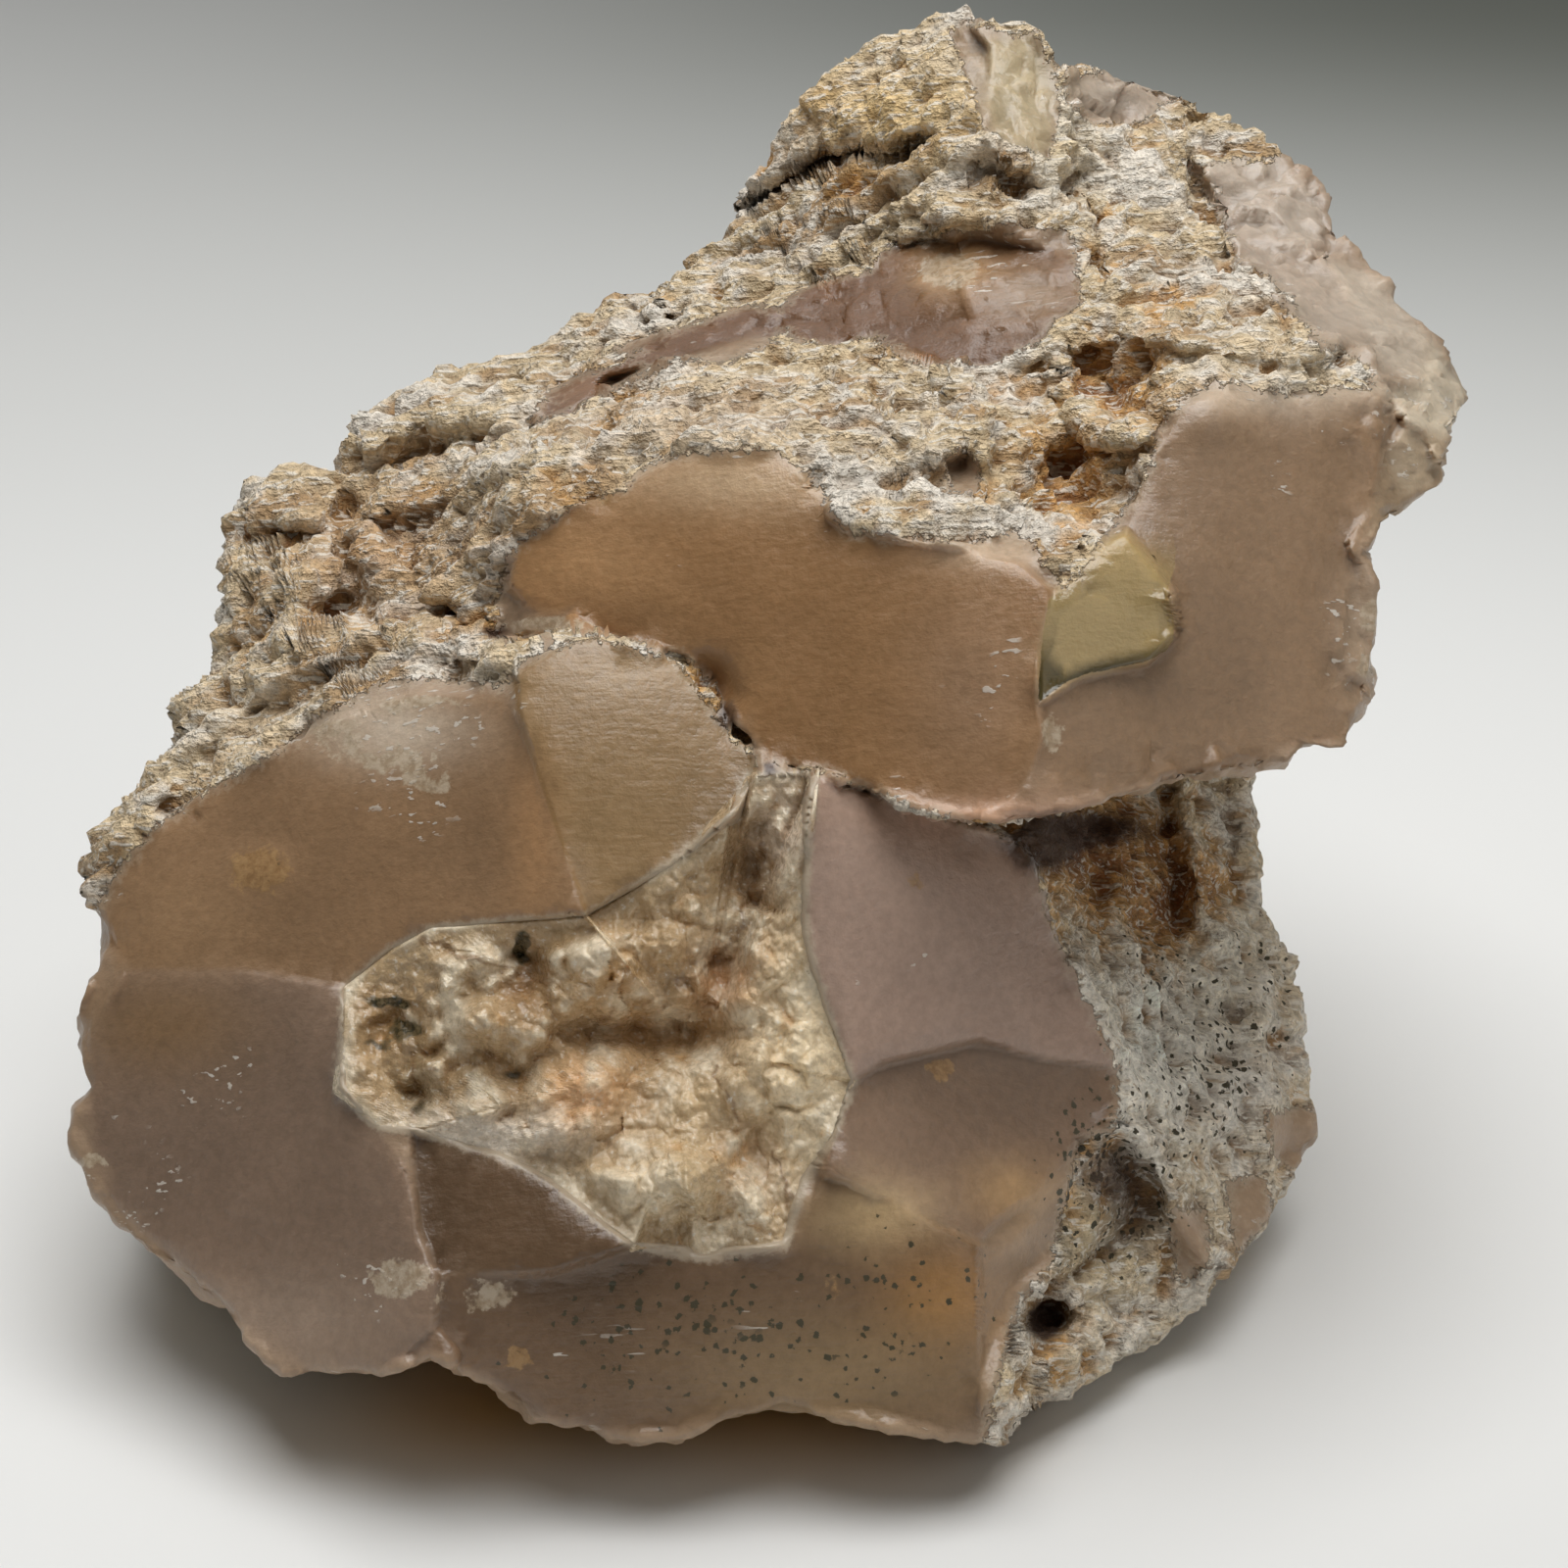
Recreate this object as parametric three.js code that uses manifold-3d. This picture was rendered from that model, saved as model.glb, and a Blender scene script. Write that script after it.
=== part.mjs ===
// A limb cast of petrified wood: a fist-sized stone of lilac-brown chalcedony that filled the mould of a branch.
// Its front is a fresh break across the lower limb, with a hollow of white quartz at its heart. A second limb lies
// over it and overhangs on the right, and a pale, rough rind with the grain of bark wraps the top, sides and back.
//
// The break is described as it is seen from the front: a place is a sight line, given in pixels of a square
// picture 1600 across, and a height in millimetres towards the viewer. Each limb is one closed grid, whose front
// half stands at the height of the relief and whose back half closes behind it.
import * as THREE from "three";
import { mergeVertices } from "three/addons/utils/BufferGeometryUtils.js";
import Module from "manifold-3d";

// Driving dimensions, in millimetres and degrees.
const SIGHT_WIDTH = 150; // what the 1600 pixels span at the middle of the stone
const SIGHT_DISTANCE = 250; // from the eye to the middle of the stone
const SIGHT_DOWN = 25; // how steeply the eye looks down
const MIDDLE = [0.123, -7.106, 50]; // the point looked at, from below the middle of the stone's box
const SEAT = [-2, 2]; // the middle of the flat spot it rests on
const SEAT_CURVE = 300; // radius of the rounded underside
const SEAT_CUT = 1.3; // how far the underside is worn flat
const POCKET_DEPTH = 9; // of the hollow at the heart of the lower limb
const POCKET_GAP = 0.5; // between the quartz crust and the hollow it grew in
const RIND_LUMP = 1.4; // height of the lumps of the rind
const FLATNESS = 0.85; // of a broken face: 1 is a plane, 0 is as curved as the ground about it
const FACE_EDGE = 9; // pixels over which one face turns into the next, either side of its outline
const LIMB_CELLS = 72; // cells from a limb's heart to its outline
const CRUST_CELLS = 9; // and for the quartz crust
const TRIANGLES = 7200; // of the stone, before the hollow is cut

const PICTURE = 1600;
const CENTRE = PICTURE / 2;
const MM_PER_PIXEL = SIGHT_WIDTH / PICTURE;
const DOWN = THREE.MathUtils.degToRad(SIGHT_DOWN);

// The lower limb. Its outline runs clockwise from the left shoulder, and the last stretch is hidden in the
// upper limb.
const LOWER = {
  outline: [
    [350, 486], [300, 486], [252, 508], [235, 570], [236, 610], [212, 690], [190, 725], [190, 750], [152, 800],
    [108, 852], [90, 890], [104, 940], [108, 968], [84, 1020], [82, 1070], [97, 1110], [76, 1155], [92, 1205],
    [120, 1250], [195, 1310], [240, 1355], [288, 1402], [385, 1407], [440, 1381], [500, 1412], [545, 1448],
    [620, 1466], [695, 1464], [740, 1445], [800, 1437], [900, 1453], [995, 1477], [1022, 1468], [1050, 1428],
    [1100, 1415], [1175, 1364], [1228, 1325], [1268, 1272], [1320, 1195], [1342, 1160], [1326, 1060], [1318, 980],
    [1284, 925], [1286, 850], [1274, 785], [1262, 720], [1230, 630], [1180, 530], [1110, 440], [1010, 375],
    [880, 345], [740, 370], [600, 430], [470, 475], [400, 483],
  ],
  heart: [640, 1000],
  // Pins that hold up the springy sheet of its front: sight line, then height.
  pins: [
    [300, 488, -18], [252, 510, -20], [234, 570, -16], [225, 655, -12], [192, 735, -8], [150, 800, -4], [95, 870, 0],
    [103, 935, 4], [82, 1050, 8], [76, 1155, 10], [110, 1240, 13], [190, 1305, 17], [270, 1385, 20], [385, 1405, 24],
    [530, 1430, 27], [650, 1470, 26], [800, 1437, 27], [990, 1475, 25], [1050, 1428, 19], [1100, 1415, 15],
    [1225, 1327, 4], [1320, 1195, -6], [1342, 1160, -10], [1325, 1060, -16], [1300, 955, -22], [1283, 850, -28],
    [1275, 785, -32], [1262, 720, -33], [1230, 630, -33], [1180, 530, -30], [1110, 440, -28], [1010, 375, -29],
    [880, 345, -32], [740, 370, -33], [600, 430, -28], [470, 475, -20], [600, 590, 2], [700, 620, 4], [800, 700, 8],
    [900, 760, 8], [1000, 790, 2], [1100, 780, -14], [1180, 760, -24],
    [300, 600, -6], [330, 700, 7], [400, 610, 1], [450, 670, 10], [1100, 880, -4], [1150, 850, -12],
    [1200, 950, -10], [1240, 880, -20], [1165, 1040, 2], [1250, 1100, -5], [1150, 1160, 12], [1200, 1230, 6],
    [1235, 1290, 4], [1100, 1300, 15], [1150, 1350, 9], [150, 835, 4], [285, 762, 8], [420, 706, 14],
    [515, 700, 20], [600, 937, 24], [480, 944, 22], [350, 1006, 20], [250, 990, 16], [128, 990, 10],
    [300, 870, 16], [240, 1180, 18], [346, 1112, 24], [418, 1200, 26], [446, 1300, 28], [604, 652, 20],
    [690, 676, 20], [775, 775, 25], [700, 870, 26], [832, 790, 25], [930, 825, 23], [1010, 850, 20],
    [1047, 864, 17], [1064, 895, 16], [1086, 965, 14], [1122, 1036, 12], [1140, 1090, 12], [820, 925, 28],
    [870, 1105, 27], [1000, 1062, 20], [838, 1198, 27], [930, 1236, 26], [1000, 1264, 24], [1060, 1212, 19],
    [1100, 1170, 15], [510, 1180, 27], [650, 1272, 30], [800, 1278, 29], [1000, 1400, 25], [720, 1370, 30],
    [600, 1110, 25],
  ],
  // The faces of the break. A lean tilts one on its own, in millimetres per hundred pixels across and down.
  faces: [
    {
      outline: [
        [152, 835], [285, 762], [420, 706], [512, 706], [532, 740], [552, 795], [576, 865], [600, 937], [480, 944],
        [395, 972], [350, 1006], [250, 990], [128, 990], [106, 955], [112, 905],
      ],
    },
    {
      outline: [
        [128, 990], [250, 990], [350, 1006], [347, 1080], [346, 1112], [385, 1150], [418, 1200], [428, 1265],
        [446, 1300], [442, 1378], [385, 1396], [300, 1390], [250, 1350], [190, 1295], [115, 1225], [92, 1160],
        [92, 1060],
      ],
      lean: [0.6, 1],
    },
    {
      outline: [
        [525, 690], [560, 668], [604, 652], [690, 676], [720, 702], [742, 742], [775, 775], [757, 815], [700, 870],
        [650, 905], [600, 937], [576, 865], [552, 795], [532, 740],
      ],
      lean: [-1, 0],
    },
    {
      outline: [
        [832, 790], [930, 825], [1010, 850], [1047, 864], [1064, 895], [1086, 965], [1122, 1036], [1140, 1090],
        [1060, 1080], [1000, 1062], [900, 1086], [870, 1105], [848, 1050], [828, 985], [820, 925], [826, 860],
      ],
    },
    {
      outline: [
        [870, 1105], [900, 1086], [1000, 1062], [1060, 1080], [1140, 1090], [1138, 1130], [1100, 1170],
        [1060, 1212], [1000, 1264], [930, 1236], [870, 1208], [838, 1198], [850, 1155],
      ],
      lean: [0, 2],
    },
    {
      outline: [
        [420, 1156], [510, 1180], [560, 1203], [610, 1242], [650, 1272], [560, 1300], [450, 1300], [428, 1255],
      ],
      lean: [1, 1],
    },
    {
      outline: [
        [446, 1300], [560, 1300], [650, 1272], [800, 1278], [840, 1200], [930, 1236], [1000, 1270], [1000, 1465],
        [900, 1448], [800, 1432], [695, 1458], [620, 1460], [545, 1442], [500, 1408], [442, 1378],
      ],
    },
  ],
  // Ridges and, below zero, furrows: height, half width in pixels, and the line they follow.
  ridges: [
    [-6, 9, [[440, 602], [470, 622], [514, 650]]],
    [3, 20, [[165, 792], [215, 742], [262, 700], [292, 650], [300, 600]]],
    [-3, 15, [[215, 770], [262, 730], [318, 700], [352, 672]]],
    [2.5, 15, [[300, 665], [380, 650], [450, 662], [505, 672]]],
    [-3.5, 14, [[330, 625], [380, 615], [440, 628]]],
    [-4, 14, [[345, 500], [350, 540], [358, 590], [345, 630]]],
    [-2.5, 12, [[255, 552], [300, 545], [345, 552]]],
    [3, 11, [[1212, 800], [1218, 860], [1225, 920], [1245, 960]]],
    [-3, 11, [[1186, 815], [1190, 870], [1200, 940]]],
    [-2.5, 10, [[1250, 800], [1255, 860], [1262, 920]]],
    [2.5, 12, [[1140, 900], [1150, 960], [1180, 1020]]],
    [3, 13, [[1140, 1140], [1175, 1180], [1205, 1245], [1238, 1295]]],
    [2, 12, [[1075, 1290], [1040, 1330], [1020, 1400], [990, 1468]]],
    [-3.5, 18, [[1150, 1180], [1165, 1225], [1130, 1270], [1095, 1295]]],
    [2, 14, [[1290, 1000], [1280, 1060], [1300, 1120], [1295, 1170]]],
  ],
  // Hollows and bosses: middle, half width and half height in pixels, and how far they stand up.
  spots: [
    [1066, 1345, 26, 24, -7], [1185, 950, 30, 38, -3.5], [1290, 1062, 22, 14, -3], [300, 530, 30, 18, 2.5],
    [400, 570, 30, 22, 2.5], [480, 612, 24, 16, 2], [265, 885, 36, 26, 0.8], [1235, 985, 40, 30, 2],
  ],
};

// The upper limb. Its outline runs clockwise from its left end, and the overhang from the notch to the right end.
const UPPER = {
  outline: [
    [350, 486], [366, 440], [392, 415], [450, 382], [510, 370], [565, 353], [637, 307], [668, 310], [700, 270],
    [757, 225], [760, 195], [790, 162], [820, 100], [870, 68], [930, 40], [985, 12], [1050, 32], [1080, 72],
    [1135, 75], [1215, 103], [1300, 155], [1345, 185], [1366, 246], [1405, 283], [1460, 345], [1502, 400],
    [1480, 445], [1471, 495], [1412, 534], [1390, 562], [1399, 600], [1405, 650], [1402, 705], [1370, 762],
    [1330, 760], [1312, 778], [1200, 797], [1110, 820], [1020, 841], [940, 826], [860, 797], [785, 778],
    [742, 730], [700, 676], [604, 645], [515, 656], [440, 604], [380, 560], [345, 520],
  ],
  heart: [960, 420],
  pins: [
    [350, 486, -19], [400, 408, -26], [565, 353, -29], [637, 307, -31], [757, 225, -31], [800, 130, -30],
    [870, 68, -28], [985, 12, -25], [1068, 50, -22], [1135, 75, -26], [1215, 103, -26], [1300, 155, -24],
    [1355, 215, -20], [1405, 283, -14], [1460, 345, -7], [1502, 400, -3], [1478, 475, 6], [1410, 535, 13],
    [1393, 600, 17], [1403, 700, 17], [1330, 760, 22], [450, 480, -11], [430, 550, -3], [480, 600, 8],
    [560, 440, -4], [540, 500, 11], [700, 430, 10], [700, 372, -7], [820, 410, 8], [900, 500, 21], [960, 430, 12],
    [850, 362, -4], [700, 330, -17], [900, 270, -12], [900, 215, -17], [900, 130, -19], [1000, 100, -15],
    [1050, 150, -12], [1000, 352, -1], [1050, 245, -8], [1120, 180, -16], [1180, 240, -9], [1200, 335, 6],
    [1150, 430, 14], [1280, 355, 9], [1280, 230, -13], [1385, 375, 8], [1100, 565, 26], [1100, 470, 14],
    [1040, 530, 23], [518, 600, 13], [560, 530, 16], [700, 458, 17], [780, 456, 18], [850, 526, 23],
    [990, 563, 27], [1074, 602, 29], [1062, 705, 32], [1045, 800, 30], [1020, 841, 28], [860, 797, 26],
    [742, 722, 24], [604, 640, 17], [800, 640, 25], [1200, 415, 17], [1412, 400, 8], [1402, 500, 12],
    [1150, 803, 26], [1270, 782, 23], [1200, 600, 28], [1300, 600, 24], [620, 410, -6], [560, 405, -14],
    [1130, 650, 28], [1000, 700, 31],
  ],
  faces: [
    {
      outline: [
        [518, 600], [530, 540], [640, 492], [700, 460], [780, 456], [820, 482], [850, 526], [900, 549], [990, 563],
        [1040, 572], [1074, 602], [1062, 650], [1056, 705], [1066, 755], [1045, 800], [1020, 841], [940, 826],
        [860, 797], [785, 772], [742, 722], [700, 670], [604, 640], [540, 622],
      ],
    },
    {
      outline: [
        [1150, 540], [1168, 470], [1205, 415], [1262, 388], [1350, 402], [1412, 400], [1416, 430], [1402, 500],
        [1387, 560], [1396, 640], [1398, 702], [1368, 756], [1330, 756], [1270, 782], [1150, 803], [1075, 828],
        [1020, 841], [1045, 800], [1066, 755], [1060, 718], [1100, 694], [1170, 677], [1198, 650], [1198, 605],
      ],
    },
    {
      outline: [
        [1416, 340], [1460, 352], [1498, 402], [1474, 450], [1466, 492], [1396, 540], [1404, 500], [1420, 425],
      ],
    },
    {
      outline: [
        [1078, 602], [1130, 548], [1150, 540], [1190, 590], [1198, 640], [1170, 675], [1100, 692], [1060, 716],
        [1060, 660],
      ],
      lean: [0, -3.5],
    },
    {
      outline: [
        [548, 436], [560, 405], [622, 362], [720, 328], [800, 302], [890, 270], [905, 242], [1000, 242],
        [1090, 258], [1140, 300], [1140, 350], [1060, 366], [1000, 388], [920, 356], [850, 350], [770, 342],
        [700, 364], [620, 386], [592, 432],
      ],
    },
  ],
  ridges: [
    [-6, 9, [[764, 212], [800, 190], [835, 166], [870, 152], [905, 154], [945, 150]]],
    [-3, 10, [[1000, 168], [1040, 192], [1085, 200]]],
    [3.5, 15, [[372, 455], [430, 430], [500, 420], [545, 400]]],
    [-3, 11, [[365, 490], [430, 462], [500, 455], [545, 440]]],
    [3, 13, [[390, 520], [480, 490], [560, 468], [640, 445], [720, 440]]],
    [-4, 11, [[545, 442], [575, 428], [610, 396], [640, 372]]],
    [2.5, 12, [[640, 425], [700, 405], [780, 395], [840, 400], [900, 425], [960, 465]]],
    [3, 11, [[1000, 470], [990, 420], [970, 392]]],
    [4, 11, [[1078, 372], [1095, 410], [1125, 442], [1165, 445]]],
    [2.5, 13, [[1150, 338], [1210, 352], [1280, 356], [1345, 366]]],
    [-3, 11, [[1110, 300], [1118, 250], [1112, 215], [1090, 185]]],
    [2, 15, [[1100, 110], [1150, 165], [1200, 215], [1260, 262], [1310, 310], [1350, 345]]],
    [-2.5, 11, [[1205, 170], [1240, 225], [1255, 275]]],
    [2, 12, [[780, 245], [860, 220], [940, 215], [1030, 225]]],
  ],
  spots: [
    [1130, 395, 44, 34, -8], [1080, 500, 50, 40, -9], [976, 480, 24, 22, -3.5], [1185, 310, 38, 18, -4],
    [1360, 368, 22, 12, -4], [718, 706, 24, 28, -5], [610, 335, 36, 22, 3], [440, 415, 40, 20, 2],
    [1040, 155, 38, 26, 3.5], [380, 455, 22, 22, 2], [1240, 425, 36, 30, 1.5], [960, 120, 60, 24, 2],
  ],
};

// The quartz at the heart: its outline, its middle, and its lumps and vugs as hollows and bosses.
const QUARTZ = {
  outline: [
    [346, 1112], [350, 1060], [352, 1008], [400, 970], [440, 948], [540, 940], [600, 936], [650, 906], [700, 870],
    [745, 828], [762, 792], [832, 786], [824, 860], [820, 930], [830, 990], [850, 1052], [870, 1105], [850, 1158],
    [820, 1205], [802, 1270], [720, 1284], [650, 1272], [600, 1236], [560, 1202], [500, 1175], [430, 1156],
    [385, 1150],
  ],
  heart: [712, 1070],
  spots: [
    [600, 1112, 42, 34, 5], [700, 1128, 36, 36, 4], [705, 1195, 60, 40, 3.5], [500, 1045, 50, 26, 4.5],
    [400, 1045, 34, 24, -4], [545, 985, 22, 34, -4], [660, 1040, 60, 26, -6], [735, 990, 26, 36, -5],
    [525, 1095, 18, 16, -4], [610, 1000, 40, 40, 2.5], [780, 1100, 46, 60, 3], [470, 985, 40, 26, 2],
    [760, 1190, 26, 30, -2], [425, 1115, 16, 26, -2.5], [765, 880, 16, 50, -3], [560, 1160, 40, 24, 2.5],
  ],
};

// Pins of the springy sheet that both limbs close on behind.
const BACK_PINS = [
  [720, 780, -56], [250, 900, -38], [1150, 720, -48], [980, 250, -38], [720, 450, -48], [700, 1250, -48],
  [400, 620, -42], [1250, 400, -34], [1200, 1100, -46], [980, 1000, -60], [450, 1050, -54],
];

// The point on the sight line through pixel x, y that lies height above the middle, towards the eye.
function place(x, y, height) {
  const shrink = (MM_PER_PIXEL * (SIGHT_DISTANCE - height)) / SIGHT_DISTANCE;
  const up = (CENTRE - y) * shrink;
  const point = new THREE.Vector3(
    MIDDLE[0] + (x - CENTRE) * shrink,
    MIDDLE[1] + up * Math.sin(DOWN) - height * Math.cos(DOWN),
    MIDDLE[2] + up * Math.cos(DOWN) + height * Math.sin(DOWN),
  );
  const underside = ((point.x - SEAT[0]) ** 2 + (point.y - SEAT[1]) ** 2) / (2 * SEAT_CURVE);
  point.z = Math.max(point.z, underside + 0.8 * noise(point.x / 9, point.y / 9)) - SEAT_CUT;
  return point;
}

// Distance in pixels from x, y to a line of points.
function distance(line, x, y) {
  let nearest = Infinity;
  for (let i = 1; i < line.length; i++) {
    const [ax, ay] = line[i - 1];
    const [bx, by] = line[i];
    const share = ((x - ax) * (bx - ax) + (y - ay) * (by - ay)) / ((bx - ax) ** 2 + (by - ay) ** 2);
    const along = THREE.MathUtils.clamp(share, 0, 1);
    nearest = Math.min(nearest, Math.hypot(x - ax - along * (bx - ax), y - ay - along * (by - ay)));
  }
  return nearest;
}

// Distance in pixels from x, y to an outline, positive inside.
function inside(outline, x, y) {
  let within = false;
  outline.forEach(([ax, ay], i) => {
    const [bx, by] = outline[(i + 1) % outline.length];
    if (ay > y !== by > y && x < ax + ((y - ay) / (by - ay)) * (bx - ax)) within = !within;
  });
  return distance([...outline, outline[0]], x, y) * (within ? 1 : -1);
}

// Solves the linear system rows * answer = right by elimination with pivots.
function solve(rows, right) {
  const n = right.length;
  const m = rows.map((row, i) => [...row, right[i]]);
  for (let c = 0; c < n; c++) {
    let best = c;
    for (let r = c + 1; r < n; r++) if (Math.abs(m[r][c]) > Math.abs(m[best][c])) best = r;
    [m[c], m[best]] = [m[best], m[c]];
    for (let r = 0; r < n; r++) {
      if (r === c) continue;
      const times = m[r][c] / m[c][c];
      for (let k = c; k <= n; k++) m[r][k] -= times * m[c][k];
    }
  }
  return m.map((row, i) => row[n] / row[i]);
}

const plane = ([x, y]) => [1, x / CENTRE - 1, y / CENTRE - 1];
const dot = (a, b) => a.reduce((sum, v, i) => sum + v * b[i], 0);

// A thin springy sheet that touches every pin: a plane plus a weighted r^2 ln r about each pin.
function sheetOver(pins) {
  const bend = (dx, dy) => {
    const r = Math.hypot(dx, dy) / CENTRE;
    return r > 0 ? r * r * Math.log(r) : 0;
  };
  const rows = pins.map((p) => [...pins.map((q) => bend(p[0] - q[0], p[1] - q[1])), ...plane(p)]);
  for (let k = 0; k < 3; k++) rows.push([...pins.map((p) => plane(p)[k]), 0, 0, 0]);
  const weights = solve(rows, [...pins.map((p) => p[2]), 0, 0, 0]);
  const tilt = weights.slice(pins.length);
  return (x, y) => {
    const lift = dot(plane([x, y]), tilt);
    return pins.reduce((sum, p, i) => sum + weights[i] * bend(x - p[0], y - p[1]), lift);
  };
}

// The plane that fits the sheet best at the corners of a face, leant by the face's own lean.
function planeOf({ outline, lean = [0, 0] }, sheet) {
  const product = (a, b) => outline.reduce((sum, p) => sum + plane(p)[a] * plane(p)[b], 0);
  const rows = [0, 1, 2].map((a) => [0, 1, 2].map((b) => product(a, b)));
  const right = [0, 1, 2].map((a) => outline.reduce((sum, p) => sum + plane(p)[a] * sheet(...p), 0));
  const tilt = solve(rows, right);
  const middle = [0, 1].map((k) => outline.reduce((sum, p) => sum + p[k], 0) / outline.length);
  return (x, y) => dot(plane([x, y]), tilt) + (lean[0] * (x - middle[0]) + lean[1] * (y - middle[1])) / 100;
}

// Smooth noise on a lattice of one pixel, about -1 to 1, and a sum of it at three sizes.
function noise(x, y) {
  const dice = (i, j) => {
    const thrown = Math.sin(i * 127.1 + j * 311.7) * 43758.5453;
    return 2 * (thrown - Math.floor(thrown)) - 1;
  };
  const [i, j] = [Math.floor(x), Math.floor(y)];
  const [s, t] = [x - i, y - j].map((v) => v * v * (3 - 2 * v));
  const across = (row) => (1 - s) * dice(i, row) + s * dice(i + 1, row);
  return (1 - t) * across(j) + t * across(j + 1);
}

// Lumps of the rind, drawn out along the grain of the bark, which climbs to the right.
function lumps(x, y) {
  const along = (0.87 * x - 0.5 * y) / 1.5;
  const across = 0.5 * x + 0.87 * y;
  return noise(along / 60, across / 60) + 0.7 * noise(along / 30 + 9, across / 30);
}

const stand = (spots, x, y) =>
  spots.reduce((sum, [cx, cy, rx, ry, up]) => {
    const away = ((x - cx) / rx) ** 2 + ((y - cy) / ry) ** 2;
    return sum + up * Math.exp(-away);
  }, 0);

// The height of a limb's front at x, y: its faces where it broke, its lumpy sheet elsewhere.
function reliefOf({ pins, faces, ridges, spots }) {
  const sheet = sheetOver(pins);
  const planes = faces.map((face) => planeOf(face, sheet));
  return (x, y) => {
    const ground = sheet(x, y);
    let sum = 0;
    let weight = 0;
    faces.forEach(({ outline }, i) => {
      const share = THREE.MathUtils.smoothstep(inside(outline, x, y), -FACE_EDGE, FACE_EDGE);
      if (share > 0) sum += share * (FLATNESS * planes[i](x, y) + (1 - FLATNESS) * ground);
      weight += share;
    });
    const rough = Math.max(0, 1 - weight);
    const rise = ridges.reduce((all, [up, wide, line]) => {
      const away = distance(line, x, y) / wide;
      return all + up * Math.exp(-(away ** 2));
    }, 0);
    const rind = rough > 0 ? ground + RIND_LUMP * lumps(x, y) + rise : 0;
    return (sum + rough * rind) / (weight + rough) + stand(spots, x, y);
  };
}

// The outline's pixel in the direction of angle from the heart, where the ray leaves it.
function rim({ outline, heart }, angle) {
  const dx = Math.cos(angle);
  const dy = Math.sin(angle);
  let far = 0;
  outline.forEach(([ax, ay], i) => {
    const [bx, by] = outline[(i + 1) % outline.length];
    const side = dx * (by - ay) - dy * (bx - ax);
    const t = ((ax - heart[0]) * (by - ay) - (ay - heart[1]) * (bx - ax)) / side;
    const s = ((ax - heart[0]) * dy - (ay - heart[1]) * dx) / side;
    if (s >= 0 && s <= 1 && t > far) far = t;
  });
  return [heart[0] + far * dx, heart[1] + far * dy];
}

// A closed solid from two square grids that share their rim. Square rings about the middle become rings about the
// heart: front and back give the point at a share of the way from the heart to the rim, in the direction of angle.
function shell(cells, front, back) {
  const side = 2 * cells + 1;
  const points = [];
  const at = (i, j, half) => {
    const share = Math.max(Math.abs(i), Math.abs(j)) / cells;
    if (share === 0) return half(0, 0);
    if (Math.abs(i) >= Math.abs(j)) return half(share, (Math.PI / 4) * (j / i) + (i < 0 ? Math.PI : 0));
    return half(share, (Math.PI / 2) * Math.sign(j) - (Math.PI / 4) * (i / j));
  };
  const triangles = [];
  [front, back].forEach((half, k) => {
    const index = (i, j) => {
      const onRim = Math.max(Math.abs(i), Math.abs(j)) === cells;
      return (onRim ? 0 : k * side * side) + (i + cells) * side + j + cells;
    };
    for (let i = -cells; i <= cells; i++) for (let j = -cells; j <= cells; j++) points.push(at(i, j, half));
    for (let i = -cells; i < cells; i++) {
      for (let j = -cells; j < cells; j++) {
        const [a, b, c, d] = [index(i, j), index(i, j + 1), index(i + 1, j + 1), index(i + 1, j)];
        const two = i < 0 === j < 0 ? [[a, b, c], [a, c, d]] : [[a, b, d], [b, c, d]];
        for (const [p, q, r] of two) triangles.push(...(k ? [p, r, q] : [p, q, r]));
      }
    }
  });
  return new THREE.BufferGeometry().setFromPoints(points).setIndex(triangles);
}

const between = (from, to, share) => from.map((v, k) => v + (to[k] - v) * share);

const backSheet = sheetOver(BACK_PINS);

// A limb: its front stands at the relief, and its back swells from the rim to the sheet behind.
function limb(shape, relief) {
  const { heart } = shape;
  const front = (share, angle) => {
    const pixel = between(heart, rim(shape, angle), share);
    return place(...pixel, relief(...pixel));
  };
  const back = (share, angle) => {
    const end = rim(shape, angle);
    const edge = relief(...end);
    const turn = (Math.PI / 2) * (1 - share);
    const pixel = between(heart, end, Math.cos(turn) ** 0.8);
    const behind = backSheet(...pixel) + 2.5 * RIND_LUMP * lumps(0.7 * pixel[0] + 900, 0.7 * pixel[1]);
    return place(...pixel, edge + (behind - edge) * Math.sin(turn) ** 0.9);
  };
  return shell(LIMB_CELLS, front, back);
}

const lowerRelief = reliefOf(LOWER);
const upperRelief = reliefOf(UPPER);

// The quartz fills a bowl in the lower limb. Grown by the gap and left open in front, the same bowl cuts the
// hollow.
function quartz({ grow, cutter }) {
  const { heart, spots } = QUARTZ;
  const middle = lowerRelief(...heart);
  const half = (surface) => (share, angle) => {
    const end = rim(QUARTZ, angle);
    const [before, after] = [rim(QUARTZ, angle - 0.04), rim(QUARTZ, angle + 0.04)];
    const [across, down] = [after[0] - before[0], after[1] - before[1]];
    const out = grow / MM_PER_PIXEL / Math.hypot(across, down);
    const pixel = between(heart, [end[0] + out * down, end[1] - out * across], share);
    return place(...pixel, surface(share, middle + (lowerRelief(...end) - middle) * share, pixel));
  };
  const face = (share, height, pixel) =>
    cutter ? 60 : height - 0.3 - 3.5 * (1 - share ** 2) + stand(spots, ...pixel);
  const bowl = (share, height) => height - 2.2 - grow - POCKET_DEPTH * (1 - share ** 2.5);
  // The first step behind the rim goes straight down its wall.
  const step = CRUST_CELLS / (CRUST_CELLS - 1);
  const behind = (share, angle) => {
    const side = share === 1 ? half(face) : half(bowl);
    return side(Math.min(1, share * step), angle);
  };
  return shell(CRUST_CELLS, half(face), behind);
}

const wasm = await Module();
wasm.setup();

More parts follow.
